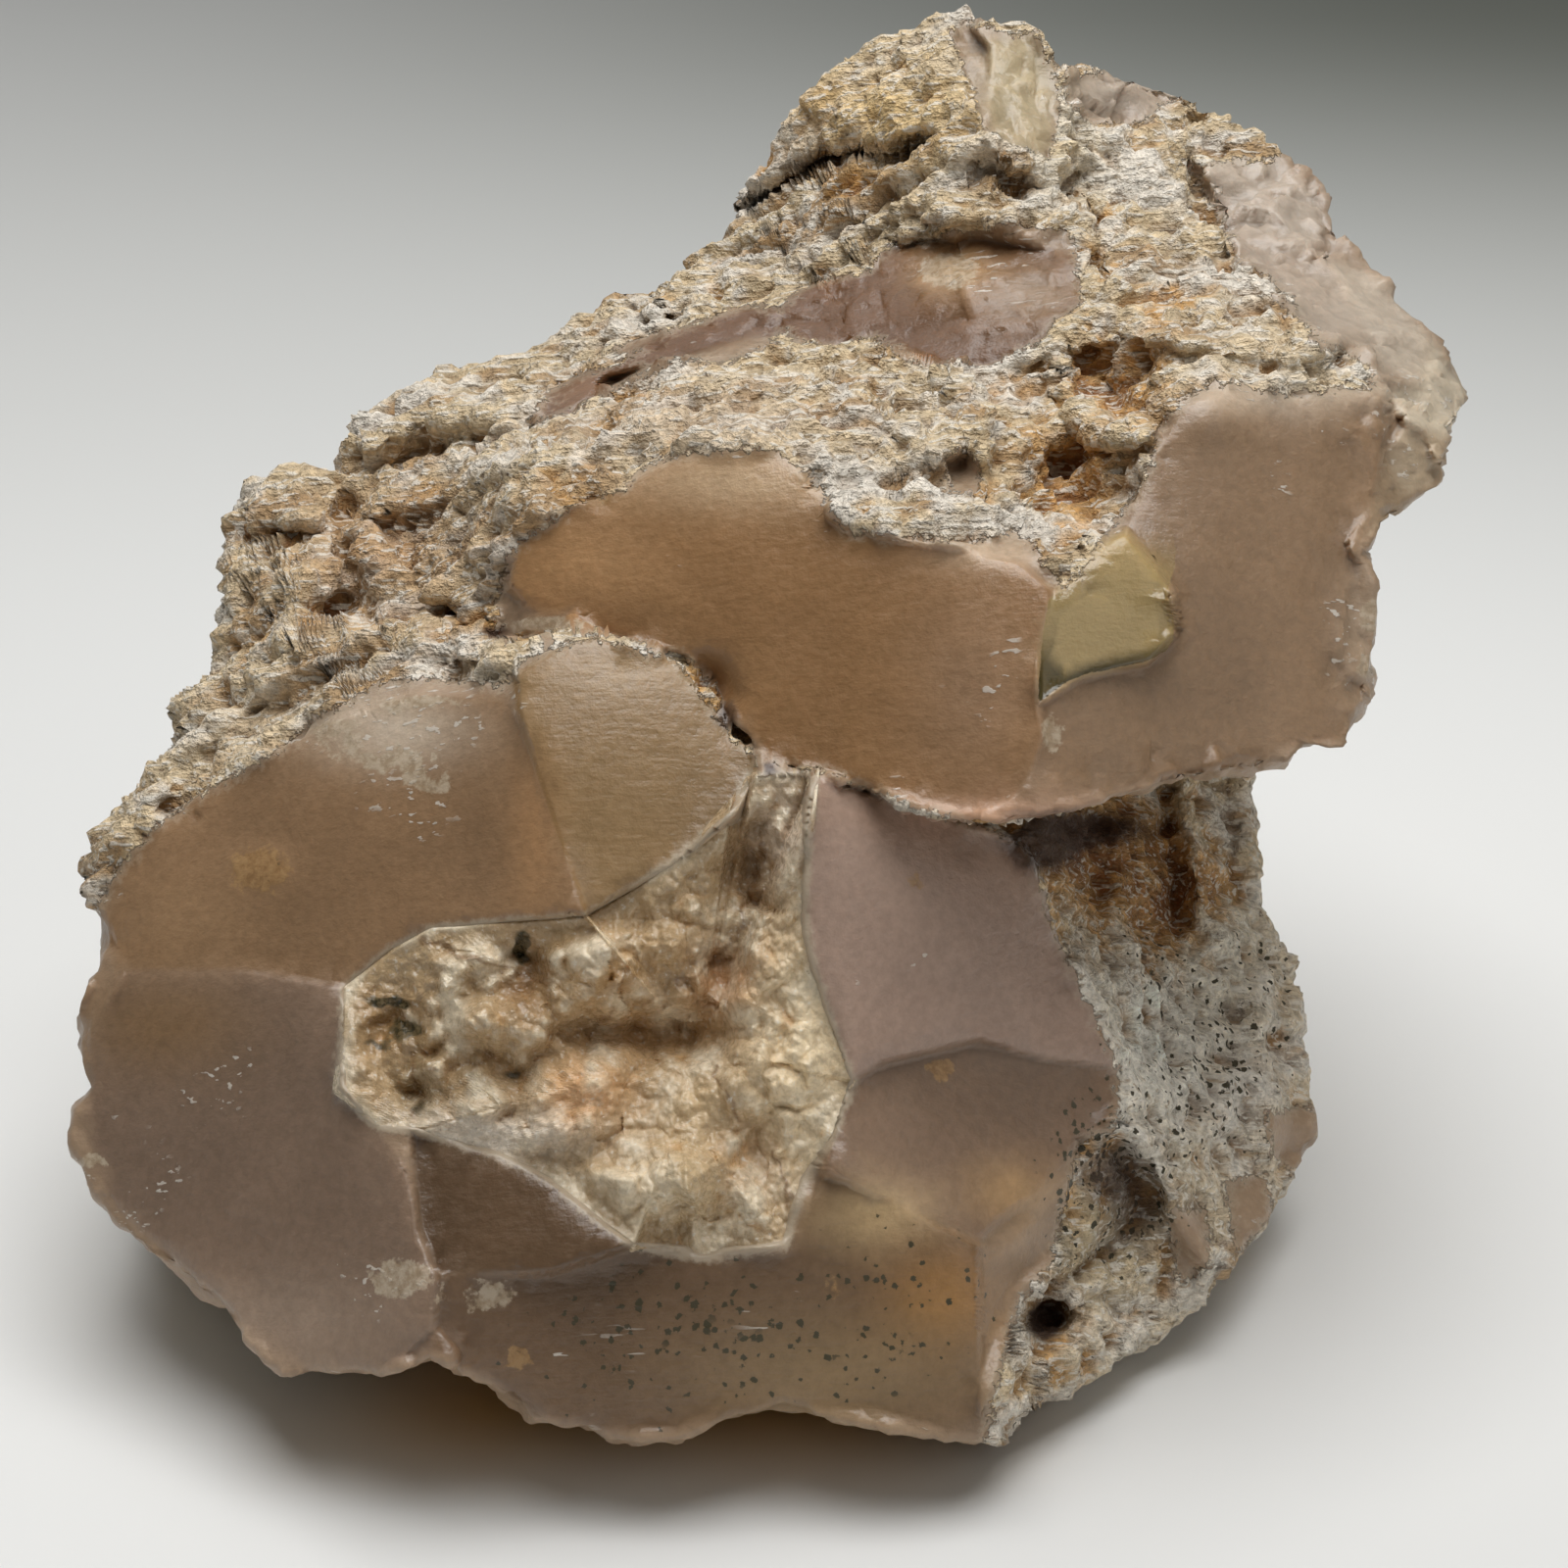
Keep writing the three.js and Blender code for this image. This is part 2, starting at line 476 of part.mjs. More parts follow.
function solid(geometry) {
  const merged = mergeVertices(geometry, 1e-3);
  return new wasm.Manifold(
    new wasm.Mesh({
      numProp: 3,
      vertProperties: merged.attributes.position.array,
      triVerts: new Uint32Array(merged.index.array),
    }),
  );
}

function geometryOf(body) {
  const { vertProperties, triVerts } = body.getMesh();
  return new THREE.BufferGeometry()
    .setAttribute("position", new THREE.BufferAttribute(vertProperties, 3))
    .setIndex(new THREE.BufferAttribute(triVerts, 1));
}

// Merges neighbouring corners, first where that moves the surface least, until few enough triangles are left.
function thin(geometry, target) {
  const { position } = geometry.attributes;
  const corner = (i) => new THREE.Vector3().fromBufferAttribute(position, i);
  const corners = Array.from({ length: position.count }, (_, i) => corner(i));
  const triangle = (f) => [0, 1, 2].map((k) => geometry.index.getX(3 * f + k));
  const faces = Array.from({ length: geometry.index.count / 3 }, (_, f) => triangle(f));
  const facing = ([a, b, c]) => b.clone().sub(a).cross(c.clone().sub(a));
  const around = corners.map(() => new Set());
  // A corner's spread holds the planes of the faces about it, so that stray gives the sum of squared distances.
  const spread = corners.map(() => new Float64Array(10));
  faces.forEach((face, f) => {
    const normal = facing(face.map((c) => corners[c]));
    const area = normal.length();
    normal.normalize();
    const row = [...normal, -normal.dot(corners[face[0]])];
    const products = row.flatMap((u, i) => row.slice(i).map((w) => area * u * w));
    for (const c of face) {
      around[c].add(f);
      products.forEach((value, k) => (spread[c][k] += value));
    }
  });
  const stray = (q, { x, y, z }) =>
    x * (q[0] * x + 2 * (q[1] * y + q[2] * z + q[3])) +
    y * (q[4] * y + 2 * (q[5] * z + q[6])) +
    z * (q[7] * z + 2 * q[8]) +
    q[9];
  const turnsOver = (face, from, to) => {
    const before = facing(face.map((c) => corners[c]));
    const after = facing(face.map((c) => (from.includes(c) ? to : corners[c])));
    return before.dot(after) < 0.25 * before.length() * after.length() || after.length() < 1e-3;
  };
  let left = faces.length;
  const merge = (keep, drop, limit) => {
    const q = spread[keep].map((value, k) => value + spread[drop][k]);
    const middle = corners[keep].clone().lerp(corners[drop], 0.5);
    const costs = [middle, corners[keep], corners[drop]].map((to) => [stray(q, to), to]);
    const [cost, to] = costs.reduce((best, next) => (next[0] < best[0] ? next : best));
    if (cost > limit) return;
    const shared = [...around[keep]].filter((f) => around[drop].has(f));
    const ring = (c) => new Set([...around[c]].flatMap((f) => faces[f]));
    const dropRing = ring(drop);
    if (shared.length !== 2 || [...ring(keep)].filter((c) => dropRing.has(c)).length !== 4) return;
    const moved = [...around[keep], ...around[drop]].filter((f) => !shared.includes(f));
    if (moved.some((f) => turnsOver(faces[f], [keep, drop], to))) return;
    for (const f of shared) {
      for (const c of faces[f]) around[c].delete(f);
      faces[f] = null;
    }
    for (const f of around[drop]) {
      faces[f] = faces[f].map((c) => (c === drop ? keep : c));
      around[keep].add(f);
    }
    around[drop].clear();
    corners[keep] = to.clone();
    spread[keep] = q;
    left -= 2;
  };
  for (let limit = 1e-3; left > target; limit *= 1.5) {
    for (let f = 0; f < faces.length && left > target; f++) {
      for (let k = 0; k < 3 && faces[f]; k++) merge(faces[f][k], faces[f][(k + 1) % 3], limit);
    }
  }
  return new THREE.BufferGeometry().setFromPoints(corners).setIndex(faces.filter((face) => face).flat());
}

function named(name, body, colour, roughness) {
  const geometry = geometryOf(body);
  geometry.computeVertexNormals();
  const mesh = new THREE.Mesh(geometry, new THREE.MeshStandardMaterial({ color: colour, roughness, metalness: 0 }));
  mesh.name = name;
  return mesh;
}

const lower = solid(limb(LOWER, lowerRelief));
const upper = solid(limb(UPPER, upperRelief));
const hollow = solid(quartz({ grow: POCKET_GAP, cutter: true }));
const whole = solid(thin(geometryOf(lower.add(upper)), TRIANGLES));
const stone = whole.trimByPlane([0, 0, 1], 0).subtract(hollow);
const crust = solid(quartz({ grow: 0, cutter: false }));

const cast = new THREE.Group();
cast.add(named("limb_cast", stone, 0xa08c80, 0.5));
cast.add(named("quartz_crust", crust, 0xded2bd, 0.4));
export default cast;
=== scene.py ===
# %% [markdown]
# # A limb cast of petrified wood
# A buried branch rotted away and left a mould in the ground. Silica filled the mould, so what is left is a
# cast of two limbs in lilac-brown chalcedony, inside a pale, rough rind that kept the grain of the bark.
# The front is a fresh break, and at the heart of the lower limb there is a pocket of white quartz. The
# scene dresses the measured solids of this fossil. It starts with the frame, which holds those solids.

import bpy
import numpy as np
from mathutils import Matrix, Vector


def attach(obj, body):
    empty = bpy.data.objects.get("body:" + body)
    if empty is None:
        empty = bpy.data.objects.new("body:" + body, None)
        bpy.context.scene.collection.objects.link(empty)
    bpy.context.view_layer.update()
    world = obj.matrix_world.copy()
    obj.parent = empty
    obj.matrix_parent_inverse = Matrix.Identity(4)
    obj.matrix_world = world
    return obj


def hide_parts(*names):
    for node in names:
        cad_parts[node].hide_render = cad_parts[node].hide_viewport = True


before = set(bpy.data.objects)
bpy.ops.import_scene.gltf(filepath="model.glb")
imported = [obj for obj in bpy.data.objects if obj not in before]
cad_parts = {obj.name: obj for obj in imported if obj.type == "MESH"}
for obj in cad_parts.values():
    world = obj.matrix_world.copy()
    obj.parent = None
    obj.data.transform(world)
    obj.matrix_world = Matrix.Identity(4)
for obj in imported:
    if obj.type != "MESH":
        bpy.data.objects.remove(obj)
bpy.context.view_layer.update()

# %% [markdown]
# ## Sight lines
# The break is a wild surface with no axis to turn it about, so it is described as a map-maker would do it:
# by what is seen from one place. A place on the stone is a sight line, given by x and y in a square picture
# 1600 pixels across, and a height in millimetres towards the eye. One function turns that into a point,
# another turns a point back, and every outline, colour zone and furrow below is given in the same pixels,
# so that they all agree.

# %% From pixels and height to a point, and back
PICTURE_WIDE = 150.0  # millimetres that the picture spans at the middle of the stone
EYE_AWAY = 250.0  # millimetres from the eye to the middle of the stone
EYE_DOWN = np.radians(25)
MIDDLE = np.array([0.123, -7.106, 50.0])
SEAT = np.array([-2.0, 2.0])  # the middle of the flat spot it rests on
SEAT_CURVE, SEAT_CUT = 300.0, 1.3  # radius of the bowl below it, and how much of that bowl is worn away
SEAT_LUMP, SEAT_LUMP_WIDE = 0.8, 9.0
CENTRE = 800
MM_PER_PIXEL = PICTURE_WIDE / 1600


def toss(*cell):
    """One throw of the dice for each whole-number cell, -1 to 1: the broken part of a large sine."""
    thrown = np.sin(sum(c * k for c, k in zip(cell, (127.1, 311.7, 74.7)))) * 43758.5453
    return 2 * (thrown - np.floor(thrown)) - 1


def noise(*where):
    """Smooth noise on a lattice of one unit: the throws at a cell's corners, blended by smooth steps."""
    low = [np.floor(w) for w in where]
    blend = [(w - f) ** 2 * (3 - 2 * (w - f)) for w, f in zip(where, low)]
    total = 0.0
    for corner in np.ndindex(*(2,) * len(where)):
        share = np.prod([b if c else 1 - b for b, c in zip(blend, corner)], axis=0)
        total = total + share * toss(*[f + c for f, c in zip(low, corner)])
    return total


def place(x, y, height):
    """The point on sight line x, y at a height: further off the pixels spread, nearer they shrink, and
    nothing goes below a shallow bowl about the seat, worn flat at the floor."""
    shrink = MM_PER_PIXEL * (EYE_AWAY - height) / EYE_AWAY
    up = (CENTRE - y) * shrink
    px = MIDDLE[0] + (x - CENTRE) * shrink
    py = MIDDLE[1] + up * np.sin(EYE_DOWN) - height * np.cos(EYE_DOWN)
    pz = MIDDLE[2] + up * np.cos(EYE_DOWN) + height * np.sin(EYE_DOWN)
    bowl = ((px - SEAT[0]) ** 2 + (py - SEAT[1]) ** 2) / (2 * SEAT_CURVE) 
    bowl = bowl + SEAT_LUMP * noise(px / SEAT_LUMP_WIDE, py / SEAT_LUMP_WIDE)
    return np.stack([px, py, np.maximum(np.maximum(pz, bowl) - SEAT_CUT, 0)], axis=-1)


def sight(points):
    """The x, y and height of points in millimetres: the sum above, undone."""
    away = points - MIDDLE + np.array([0, 0, SEAT_CUT])
    height = away[:, 2] * np.sin(EYE_DOWN) - away[:, 1] * np.cos(EYE_DOWN)
    up = away[:, 1] * np.sin(EYE_DOWN) + away[:, 2] * np.cos(EYE_DOWN)
    shrink = MM_PER_PIXEL * (EYE_AWAY - height) / EYE_AWAY
    return CENTRE + away[:, 0] / shrink, CENTRE - up / shrink, height


def lumpy(points, size, shift=0):
    """Smooth noise with lumps of about size millimetres. A shift gives another pattern."""
    return noise(*(points / size + shift).T)


def smooth(value, start, end):
    """0 at start, 1 at end, and a smooth step between."""
    share = np.clip((value - start) / (end - start), 0, 1)
    return share * share * (3 - 2 * share)


def bell(x, y, cx, cy, rx, ry):
    """1 at the middle of an oval, about a third on its edge, and nothing far from it."""
    return np.exp(-(((x - cx) / rx) ** 2) - ((y - cy) / ry) ** 2)


def gap(line, x, y):
    """Distance in pixels from x, y to a line of points."""
    near = np.full(np.shape(x), 1e9)
    for (ax, ay), (bx, by) in zip(line[:-1], line[1:]):
        dx, dy = bx - ax, by - ay
        along = np.clip(((x - ax) * dx + (y - ay) * dy) / (dx**2 + dy**2), 0, 1)
        near = np.minimum(near, np.hypot(x - ax - along * dx, y - ay - along * dy))
    return near


def inside(outline, x, y):
    """Distance in pixels to an outline: positive inside, negative outside."""
    within = np.zeros(np.shape(x), bool)
    closed = [*outline, outline[0]]
    for (ax, ay), (bx, by) in zip(closed[:-1], closed[1:]):
        if ay != by:
            within ^= ((ay > y) != (by > y)) & (x < ax + (y - ay) / (by - ay) * (bx - ax))
    return gap(closed, x, y) * np.where(within, 1, -1)


print("one pixel at the middle is", MM_PER_PIXEL, "mm")

# %% [markdown]
# ## The two limbs
# Each limb is held by its outline and by pins, which are places where the height was judged. A thin springy
# sheet over the pins gives the ground of the front. On the break, stone splits along flat faces, so inside
# each face's outline the sheet gives way to the plane that fits it there. On the rind the ground stays,
# with lumps, ridges and furrows. Modelling this with a sculpting brush would be quicker to start, but it
# couldn't be repeated or measured.

# %% The lower limb: outline, pins, faces, ridges and hollows
LOWER = {
    "outline": [
        (350, 486), (300, 486), (252, 508), (235, 570), (236, 610), (212, 690), (190, 725), (190, 750),
        (152, 800), (108, 852), (90, 890), (104, 940), (108, 968), (84, 1020), (82, 1070), (97, 1110),
        (76, 1155), (92, 1205), (120, 1250), (195, 1310), (240, 1355), (288, 1402), (385, 1407),
        (440, 1381), (500, 1412), (545, 1448), (620, 1466), (695, 1464), (740, 1445), (800, 1437),
        (900, 1453), (995, 1477), (1022, 1468), (1050, 1428), (1100, 1415), (1175, 1364), (1228, 1325),
        (1268, 1272), (1320, 1195), (1342, 1160), (1326, 1060), (1318, 980), (1284, 925), (1286, 850),
        (1274, 785), (1262, 720), (1230, 630), (1180, 530), (1110, 440), (1010, 375), (880, 345),
        (740, 370), (600, 430), (470, 475), (400, 483),
    ],
    "heart": (640, 1000),
    "pins": [
        (300, 488, -18), (252, 510, -20), (234, 570, -16), (225, 655, -12), (192, 735, -8), (150, 800, -4),
        (95, 870, 0), (103, 935, 4), (82, 1050, 8), (76, 1155, 10), (110, 1240, 13), (190, 1305, 17),
        (270, 1385, 20), (385, 1405, 24), (530, 1430, 27), (650, 1470, 26), (800, 1437, 27),
        (990, 1475, 25), (1050, 1428, 19), (1100, 1415, 15), (1225, 1327, 4), (1320, 1195, -6),
        (1342, 1160, -10), (1325, 1060, -16), (1300, 955, -22), (1283, 850, -28), (1275, 785, -32),
        (1262, 720, -33), (1230, 630, -33), (1180, 530, -30), (1110, 440, -28), (1010, 375, -29),
        (880, 345, -32), (740, 370, -33), (600, 430, -28), (470, 475, -20), (600, 590, 2), (700, 620, 4),
        (800, 700, 8), (900, 760, 8), (1000, 790, 2), (1100, 780, -14), (1180, 760, -24), (300, 600, -6),
        (330, 700, 7), (400, 610, 1), (450, 670, 10), (1100, 880, -4), (1150, 850, -12), (1200, 950, -10),
        (1240, 880, -20), (1165, 1040, 2), (1250, 1100, -5), (1150, 1160, 12), (1200, 1230, 6),
        (1235, 1290, 4), (1100, 1300, 15), (1150, 1350, 9), (150, 835, 4), (285, 762, 8), (420, 706, 14),
        (515, 700, 20), (600, 937, 24), (480, 944, 22), (350, 1006, 20), (250, 990, 16), (128, 990, 10),
        (300, 870, 16), (240, 1180, 18), (346, 1112, 24), (418, 1200, 26), (446, 1300, 28), (604, 652, 20),
        (690, 676, 20), (775, 775, 25), (700, 870, 26), (832, 790, 25), (930, 825, 23), (1010, 850, 20),
        (1047, 864, 17), (1064, 895, 16), (1086, 965, 14), (1122, 1036, 12), (1140, 1090, 12),
        (820, 925, 28), (870, 1105, 27), (1000, 1062, 20), (838, 1198, 27), (930, 1236, 26),
        (1000, 1264, 24), (1060, 1212, 19), (1100, 1170, 15), (510, 1180, 27), (650, 1272, 30),
        (800, 1278, 29), (1000, 1400, 25), (720, 1370, 30), (600, 1110, 25),
    ],
    "faces": {
        "brown shoulder": ([
            (152, 835), (285, 762), (420, 706), (512, 706), (532, 740), (552, 795), (576, 865), (600, 937),
            (480, 944), (395, 972), (350, 1006), (250, 990), (128, 990), (106, 955), (112, 905),
        ], (0, 0)),
        "lilac scoop": ([
            (128, 990), (250, 990), (350, 1006), (347, 1080), (346, 1112), (385, 1150), (418, 1200),
            (428, 1265), (446, 1300), (442, 1378), (385, 1396), (300, 1390), (250, 1350), (190, 1295),
            (115, 1225), (92, 1160), (92, 1060),
        ], (0.6, 1)),
        "wedge": ([
            (525, 690), (560, 668), (604, 652), (690, 676), (720, 702), (742, 742), (775, 775), (757, 815),
            (700, 870), (650, 905), (600, 937), (576, 865), (552, 795), (532, 740),
        ], (-1, 0)),
        "right lilac": ([
            (832, 790), (930, 825), (1010, 850), (1047, 864), (1064, 895), (1086, 965), (1122, 1036),
            (1140, 1090), (1060, 1080), (1000, 1062), (900, 1086), (870, 1105), (848, 1050), (828, 985),
            (820, 925), (826, 860),
        ], (0, 0)),
        "right tan": ([
            (870, 1105), (900, 1086), (1000, 1062), (1060, 1080), (1140, 1090), (1138, 1130), (1100, 1170),
            (1060, 1212), (1000, 1264), (930, 1236), (870, 1208), (838, 1198), (850, 1155),
        ], (0, 2)),
        "dark triangle": ([
            (420, 1156), (510, 1180), (560, 1203), (610, 1242), (650, 1272), (560, 1300), (450, 1300),
            (428, 1255),
        ], (1, 1)),
        "foot": ([
            (446, 1300), (560, 1300), (650, 1272), (800, 1278), (840, 1200), (930, 1236), (1000, 1270),
            (1000, 1465), (900, 1448), (800, 1432), (695, 1458), (620, 1460), (545, 1442), (500, 1408),
            (442, 1378),
        ], (0, 0)),
    },
    "ridges": [
        (-6, 9, [(440, 602), (470, 622), (514, 650)]),
        (3, 20, [(165, 792), (215, 742), (262, 700), (292, 650), (300, 600)]),
        (-1.5, 15, [(215, 770), (262, 730), (318, 700), (352, 672)]),
        (2.5, 15, [(300, 665), (380, 650), (450, 662), (505, 672)]),
        (-2, 14, [(330, 625), (380, 615), (440, 628)]),
        (-2.5, 14, [(345, 500), (350, 540), (358, 590), (345, 630)]),
        (-2.5, 12, [(255, 552), (300, 545), (345, 552)]),
        (3, 11, [(1212, 800), (1218, 860), (1225, 920), (1245, 960)]),
        (-3, 11, [(1186, 815), (1190, 870), (1200, 940)]),
        (-2.5, 10, [(1250, 800), (1255, 860), (1262, 920)]),
        (2.5, 12, [(1140, 900), (1150, 960), (1180, 1020)]),
        (3, 13, [(1140, 1140), (1175, 1180), (1205, 1245), (1238, 1295)]),
        (2, 12, [(1075, 1290), (1040, 1330), (1020, 1400), (990, 1468)]),
        (-3.5, 18, [(1150, 1180), (1165, 1225), (1130, 1270), (1095, 1295)]),
        (2, 14, [(1290, 1000), (1280, 1060), (1300, 1120), (1295, 1170)]),
    ],
    "spots": [
        (1066, 1345, 26, 24, -7), (1185, 950, 30, 38, -3.5), (1290, 1062, 22, 14, -3),
        (300, 530, 30, 18, 2.5), (400, 570, 30, 22, 2.5), (480, 612, 24, 16, 2), (265, 885, 36, 26, 0.8),
        (1235, 985, 40, 30, 2),
    ],
}
print("lower limb:", len(LOWER["pins"]), "pins and", len(LOWER["faces"]), "broken faces")

# %% The upper limb, which lies over the lower one and overhangs on the right
UPPER = {
    "outline": [
        (350, 486), (366, 440), (392, 415), (450, 382), (510, 370), (565, 353), (637, 307), (668, 310),
        (700, 270), (757, 225), (760, 195), (790, 162), (820, 100), (870, 68), (930, 40), (985, 12),
        (1050, 32), (1080, 72), (1135, 75), (1215, 103), (1300, 155), (1345, 185), (1366, 246), (1405, 283),
        (1460, 345), (1502, 400), (1480, 445), (1471, 495), (1412, 534), (1390, 562), (1399, 600),
        (1405, 650), (1402, 705), (1370, 762), (1330, 760), (1312, 778), (1200, 797), (1110, 820),
        (1020, 841), (940, 826), (860, 797), (785, 778), (742, 730), (700, 676), (604, 645), (515, 656),
        (440, 604), (380, 560), (345, 520),
    ],
    "heart": (960, 420),
    "pins": [
        (350, 486, -19), (400, 408, -26), (565, 353, -29), (637, 307, -31), (757, 225, -31),
        (800, 130, -30), (870, 68, -28), (985, 12, -25), (1068, 50, -22), (1135, 75, -26), (1215, 103, -26),
        (1300, 155, -24), (1355, 215, -20), (1405, 283, -14), (1460, 345, -7), (1502, 400, -3),
        (1478, 475, 6), (1410, 535, 13), (1393, 600, 17), (1403, 700, 17), (1330, 760, 22), (450, 480, -11),
        (430, 550, -3), (480, 600, 8), (560, 440, -4), (540, 500, 11), (700, 430, 10), (700, 372, -7),
        (820, 410, 8), (900, 500, 21), (960, 430, 12), (850, 362, -4), (700, 330, -17), (900, 270, -12),
        (900, 215, -17), (900, 130, -19), (1000, 100, -15), (1050, 150, -12), (1000, 352, -1),
        (1050, 245, -8), (1120, 180, -16), (1180, 240, -9), (1200, 335, 6), (1150, 430, 14), (1280, 355, 9),
        (1280, 230, -13), (1385, 375, 8), (1100, 565, 26), (1100, 470, 14), (1040, 530, 23), (518, 600, 13),
        (560, 530, 16), (700, 458, 17), (780, 456, 18), (850, 526, 23), (990, 563, 27), (1074, 602, 29),
        (1062, 705, 32), (1045, 800, 30), (1020, 841, 28), (860, 797, 26), (742, 722, 24), (604, 640, 17),
        (800, 640, 25), (1200, 415, 17), (1412, 400, 8), (1402, 500, 12), (1150, 803, 26), (1270, 782, 23),
        (1200, 600, 28), (1300, 600, 24), (620, 410, -6), (560, 405, -14), (1130, 650, 28), (1000, 700, 31),
    ],
    "faces": {
        "slab": ([
            (518, 600), (530, 540), (640, 492), (700, 460), (780, 456), (820, 482), (850, 526), (900, 549),
            (990, 563), (1040, 572), (1074, 602), (1062, 650), (1056, 705), (1066, 755), (1045, 800),
            (1020, 841), (940, 826), (860, 797), (785, 772), (742, 722), (700, 670), (604, 640), (540, 622),
        ], (0, 0)),
        "cheek": ([
            (1150, 540), (1168, 470), (1205, 415), (1262, 388), (1350, 402), (1412, 400), (1416, 430),
            (1402, 500), (1387, 560), (1396, 640), (1398, 702), (1368, 756), (1330, 756), (1270, 782),
            (1150, 803), (1075, 828), (1020, 841), (1045, 800), (1066, 755), (1060, 718), (1100, 694),
            (1170, 677), (1198, 650), (1198, 605),
        ], (0, 0)),
        "glassy nose": ([
            (1352, 262), (1404, 285), (1462, 348), (1446, 392), (1412, 372), (1390, 330),
        ], (1.5, -2)),
        "nose point": ([
            (1462, 348), (1500, 402), (1478, 448), (1432, 432), (1414, 398), (1446, 392),
        ], (-2, 3)),
        "nose flake": ([(1432, 432), (1478, 448), (1468, 494), (1430, 508), (1412, 470)], (3, -3)),
        "under the nose": ([
            (1412, 470), (1430, 508), (1462, 500), (1410, 540), (1392, 546), (1404, 505),
        ], (-2, 4)),
        "top right": ([
            (1222, 168), (1262, 156), (1304, 166), (1346, 196), (1352, 250), (1330, 262), (1290, 240),
            (1250, 236),
        ], (2, -3)),
        "top right low": ([
            (1252, 240), (1290, 244), (1330, 266), (1350, 262), (1388, 330), (1352, 348), (1300, 300),
        ], (-2, 2)),
        "crown glass": ([
            (1008, 42), (1048, 38), (1074, 76), (1074, 150), (1044, 168), (1012, 140),
        ], (0, -4)),
        "green window": ([
            (1078, 602), (1130, 548), (1150, 540), (1190, 590), (1198, 640), (1170, 675), (1100, 692),
            (1060, 716), (1060, 660),
        ], (0, -3.5)),
        "smoky band": ([
            (548, 436), (560, 405), (622, 362), (720, 328), (800, 302), (890, 270), (905, 242), (1000, 242),
            (1090, 258), (1140, 300), (1140, 350), (1060, 366), (1000, 388), (920, 356), (850, 350),
            (770, 342), (700, 364), (620, 386), (592, 432),
        ], (0, 0)),
    },
    "ridges": [
        (-6, 9, [(764, 212), (800, 190), (835, 166), (870, 152), (905, 154), (945, 150)]),
        (-3, 10, [(1000, 168), (1040, 192), (1085, 200)]),
        (3.5, 15, [(372, 455), (430, 430), (500, 420), (545, 400)]),
        (-3, 11, [(365, 490), (430, 462), (500, 455), (545, 440)]),
        (3, 13, [(390, 520), (480, 490), (560, 468), (640, 445), (720, 440)]),
        (-4, 11, [(545, 442), (575, 428), (610, 396), (640, 372)]),
        (2.5, 12, [(640, 425), (700, 405), (780, 395), (840, 400), (900, 425), (960, 465)]),
        (3, 11, [(1000, 470), (990, 420), (970, 392)]),
        (4, 11, [(1078, 372), (1095, 410), (1125, 442), (1165, 445)]),
        (2.5, 13, [(1150, 338), (1210, 352), (1280, 356), (1345, 366)]),
        (-3, 11, [(1110, 300), (1118, 250), (1112, 215), (1090, 185)]),
        (2, 15, [(1100, 110), (1150, 165), (1200, 215), (1260, 262), (1310, 310), (1350, 345)]),
        (-2.5, 11, [(1205, 170), (1240, 225), (1255, 275)]),
        (2, 12, [(780, 245), (860, 220), (940, 215), (1030, 225)]),
    ],
    "spots": [
        (1130, 395, 44, 34, -8), (1080, 500, 50, 40, -9), (976, 480, 24, 22, -3.5), (1185, 310, 38, 18, -4),
        (1360, 368, 22, 12, -4), (718, 706, 24, 28, -5), (610, 335, 36, 22, 3), (440, 415, 40, 20, 2),
        (1040, 155, 38, 26, 3.5), (1010, 300, 80, 44, 2.5), (380, 455, 22, 22, 2), (1240, 425, 36, 30, 1.5),
        (960, 120, 60, 24, 2),
    ],
}
BACK_PINS = [
    (720, 780, -56), (250, 900, -38), (1150, 720, -48), (980, 250, -38), (720, 450, -48), (700, 1250, -48),
    (400, 620, -42), (1250, 400, -34), (1200, 1100, -46), (980, 1000, -60), (450, 1050, -54),
]
print("upper limb:", len(UPPER["pins"]), "pins and", len(UPPER["faces"]), "broken faces")

# %% [markdown]
# ## The relief of a limb
# A thin springy sheet bends as little as it can while touching every pin. Its height is a plane plus a
# weighted r squared times log r about each pin, and the weights come from one linear system. That is
# smoother than joining the pins with triangles, and unlike a polynomial it doesn't swing between them.

# %% Sheets, planes and the relief
RIND_LUMP = 1.4  # millimetres
FLATNESS = 0.85  # of a broken face: 1 is a plane, 0 is as curved as the ground about it
FACE_EDGE = 4.5  # pixels over which one face turns into the next, either side of its outline
FACE_REACH = 24  # pixels that a face spreads out to the rim


def flat(x, y):
    """The three terms of a plane over the picture."""
    return np.stack([np.ones(np.shape(x)), x / CENTRE - 1, y / CENTRE - 1], axis=-1)


def bend(dx, dy):
    """r squared times log r, with r in half pictures."""
    r = np.hypot(dx, dy) / CENTRE
    return r * r * np.log(np.maximum(r, 1e-9))


def sheet_over(pins):
    """Gives the height of the springy sheet at x, y."""
    px, py, up = np.array(pins, float).T
    left = flat(px, py)
    rows = np.block([[bend(px[:, None] - px, py[:, None] - py), left], [left.T, np.zeros((3, 3))]])
    answer = np.linalg.solve(rows, np.concatenate([up, np.zeros(3)]))

    def height(x, y):
        lift = flat(x, y) @ answer[-3:]
        for qx, qy, weight in zip(px, py, answer):
            lift = lift + weight * bend(x - qx, y - qy)
        return lift

    return height


def plane_of(outline, lean, sheet):
    """The plane that fits the sheet best at a face's corners, leant by millimetres per 100 pixels."""
    x, y = np.array(outline, float).T
    tilt = np.linalg.lstsq(flat(x, y), sheet(x, y), rcond=None)[0]
    return lambda u, v: flat(u, v) @ tilt + (lean[0] * (u - x.mean()) + lean[1] * (v - y.mean())) / 100


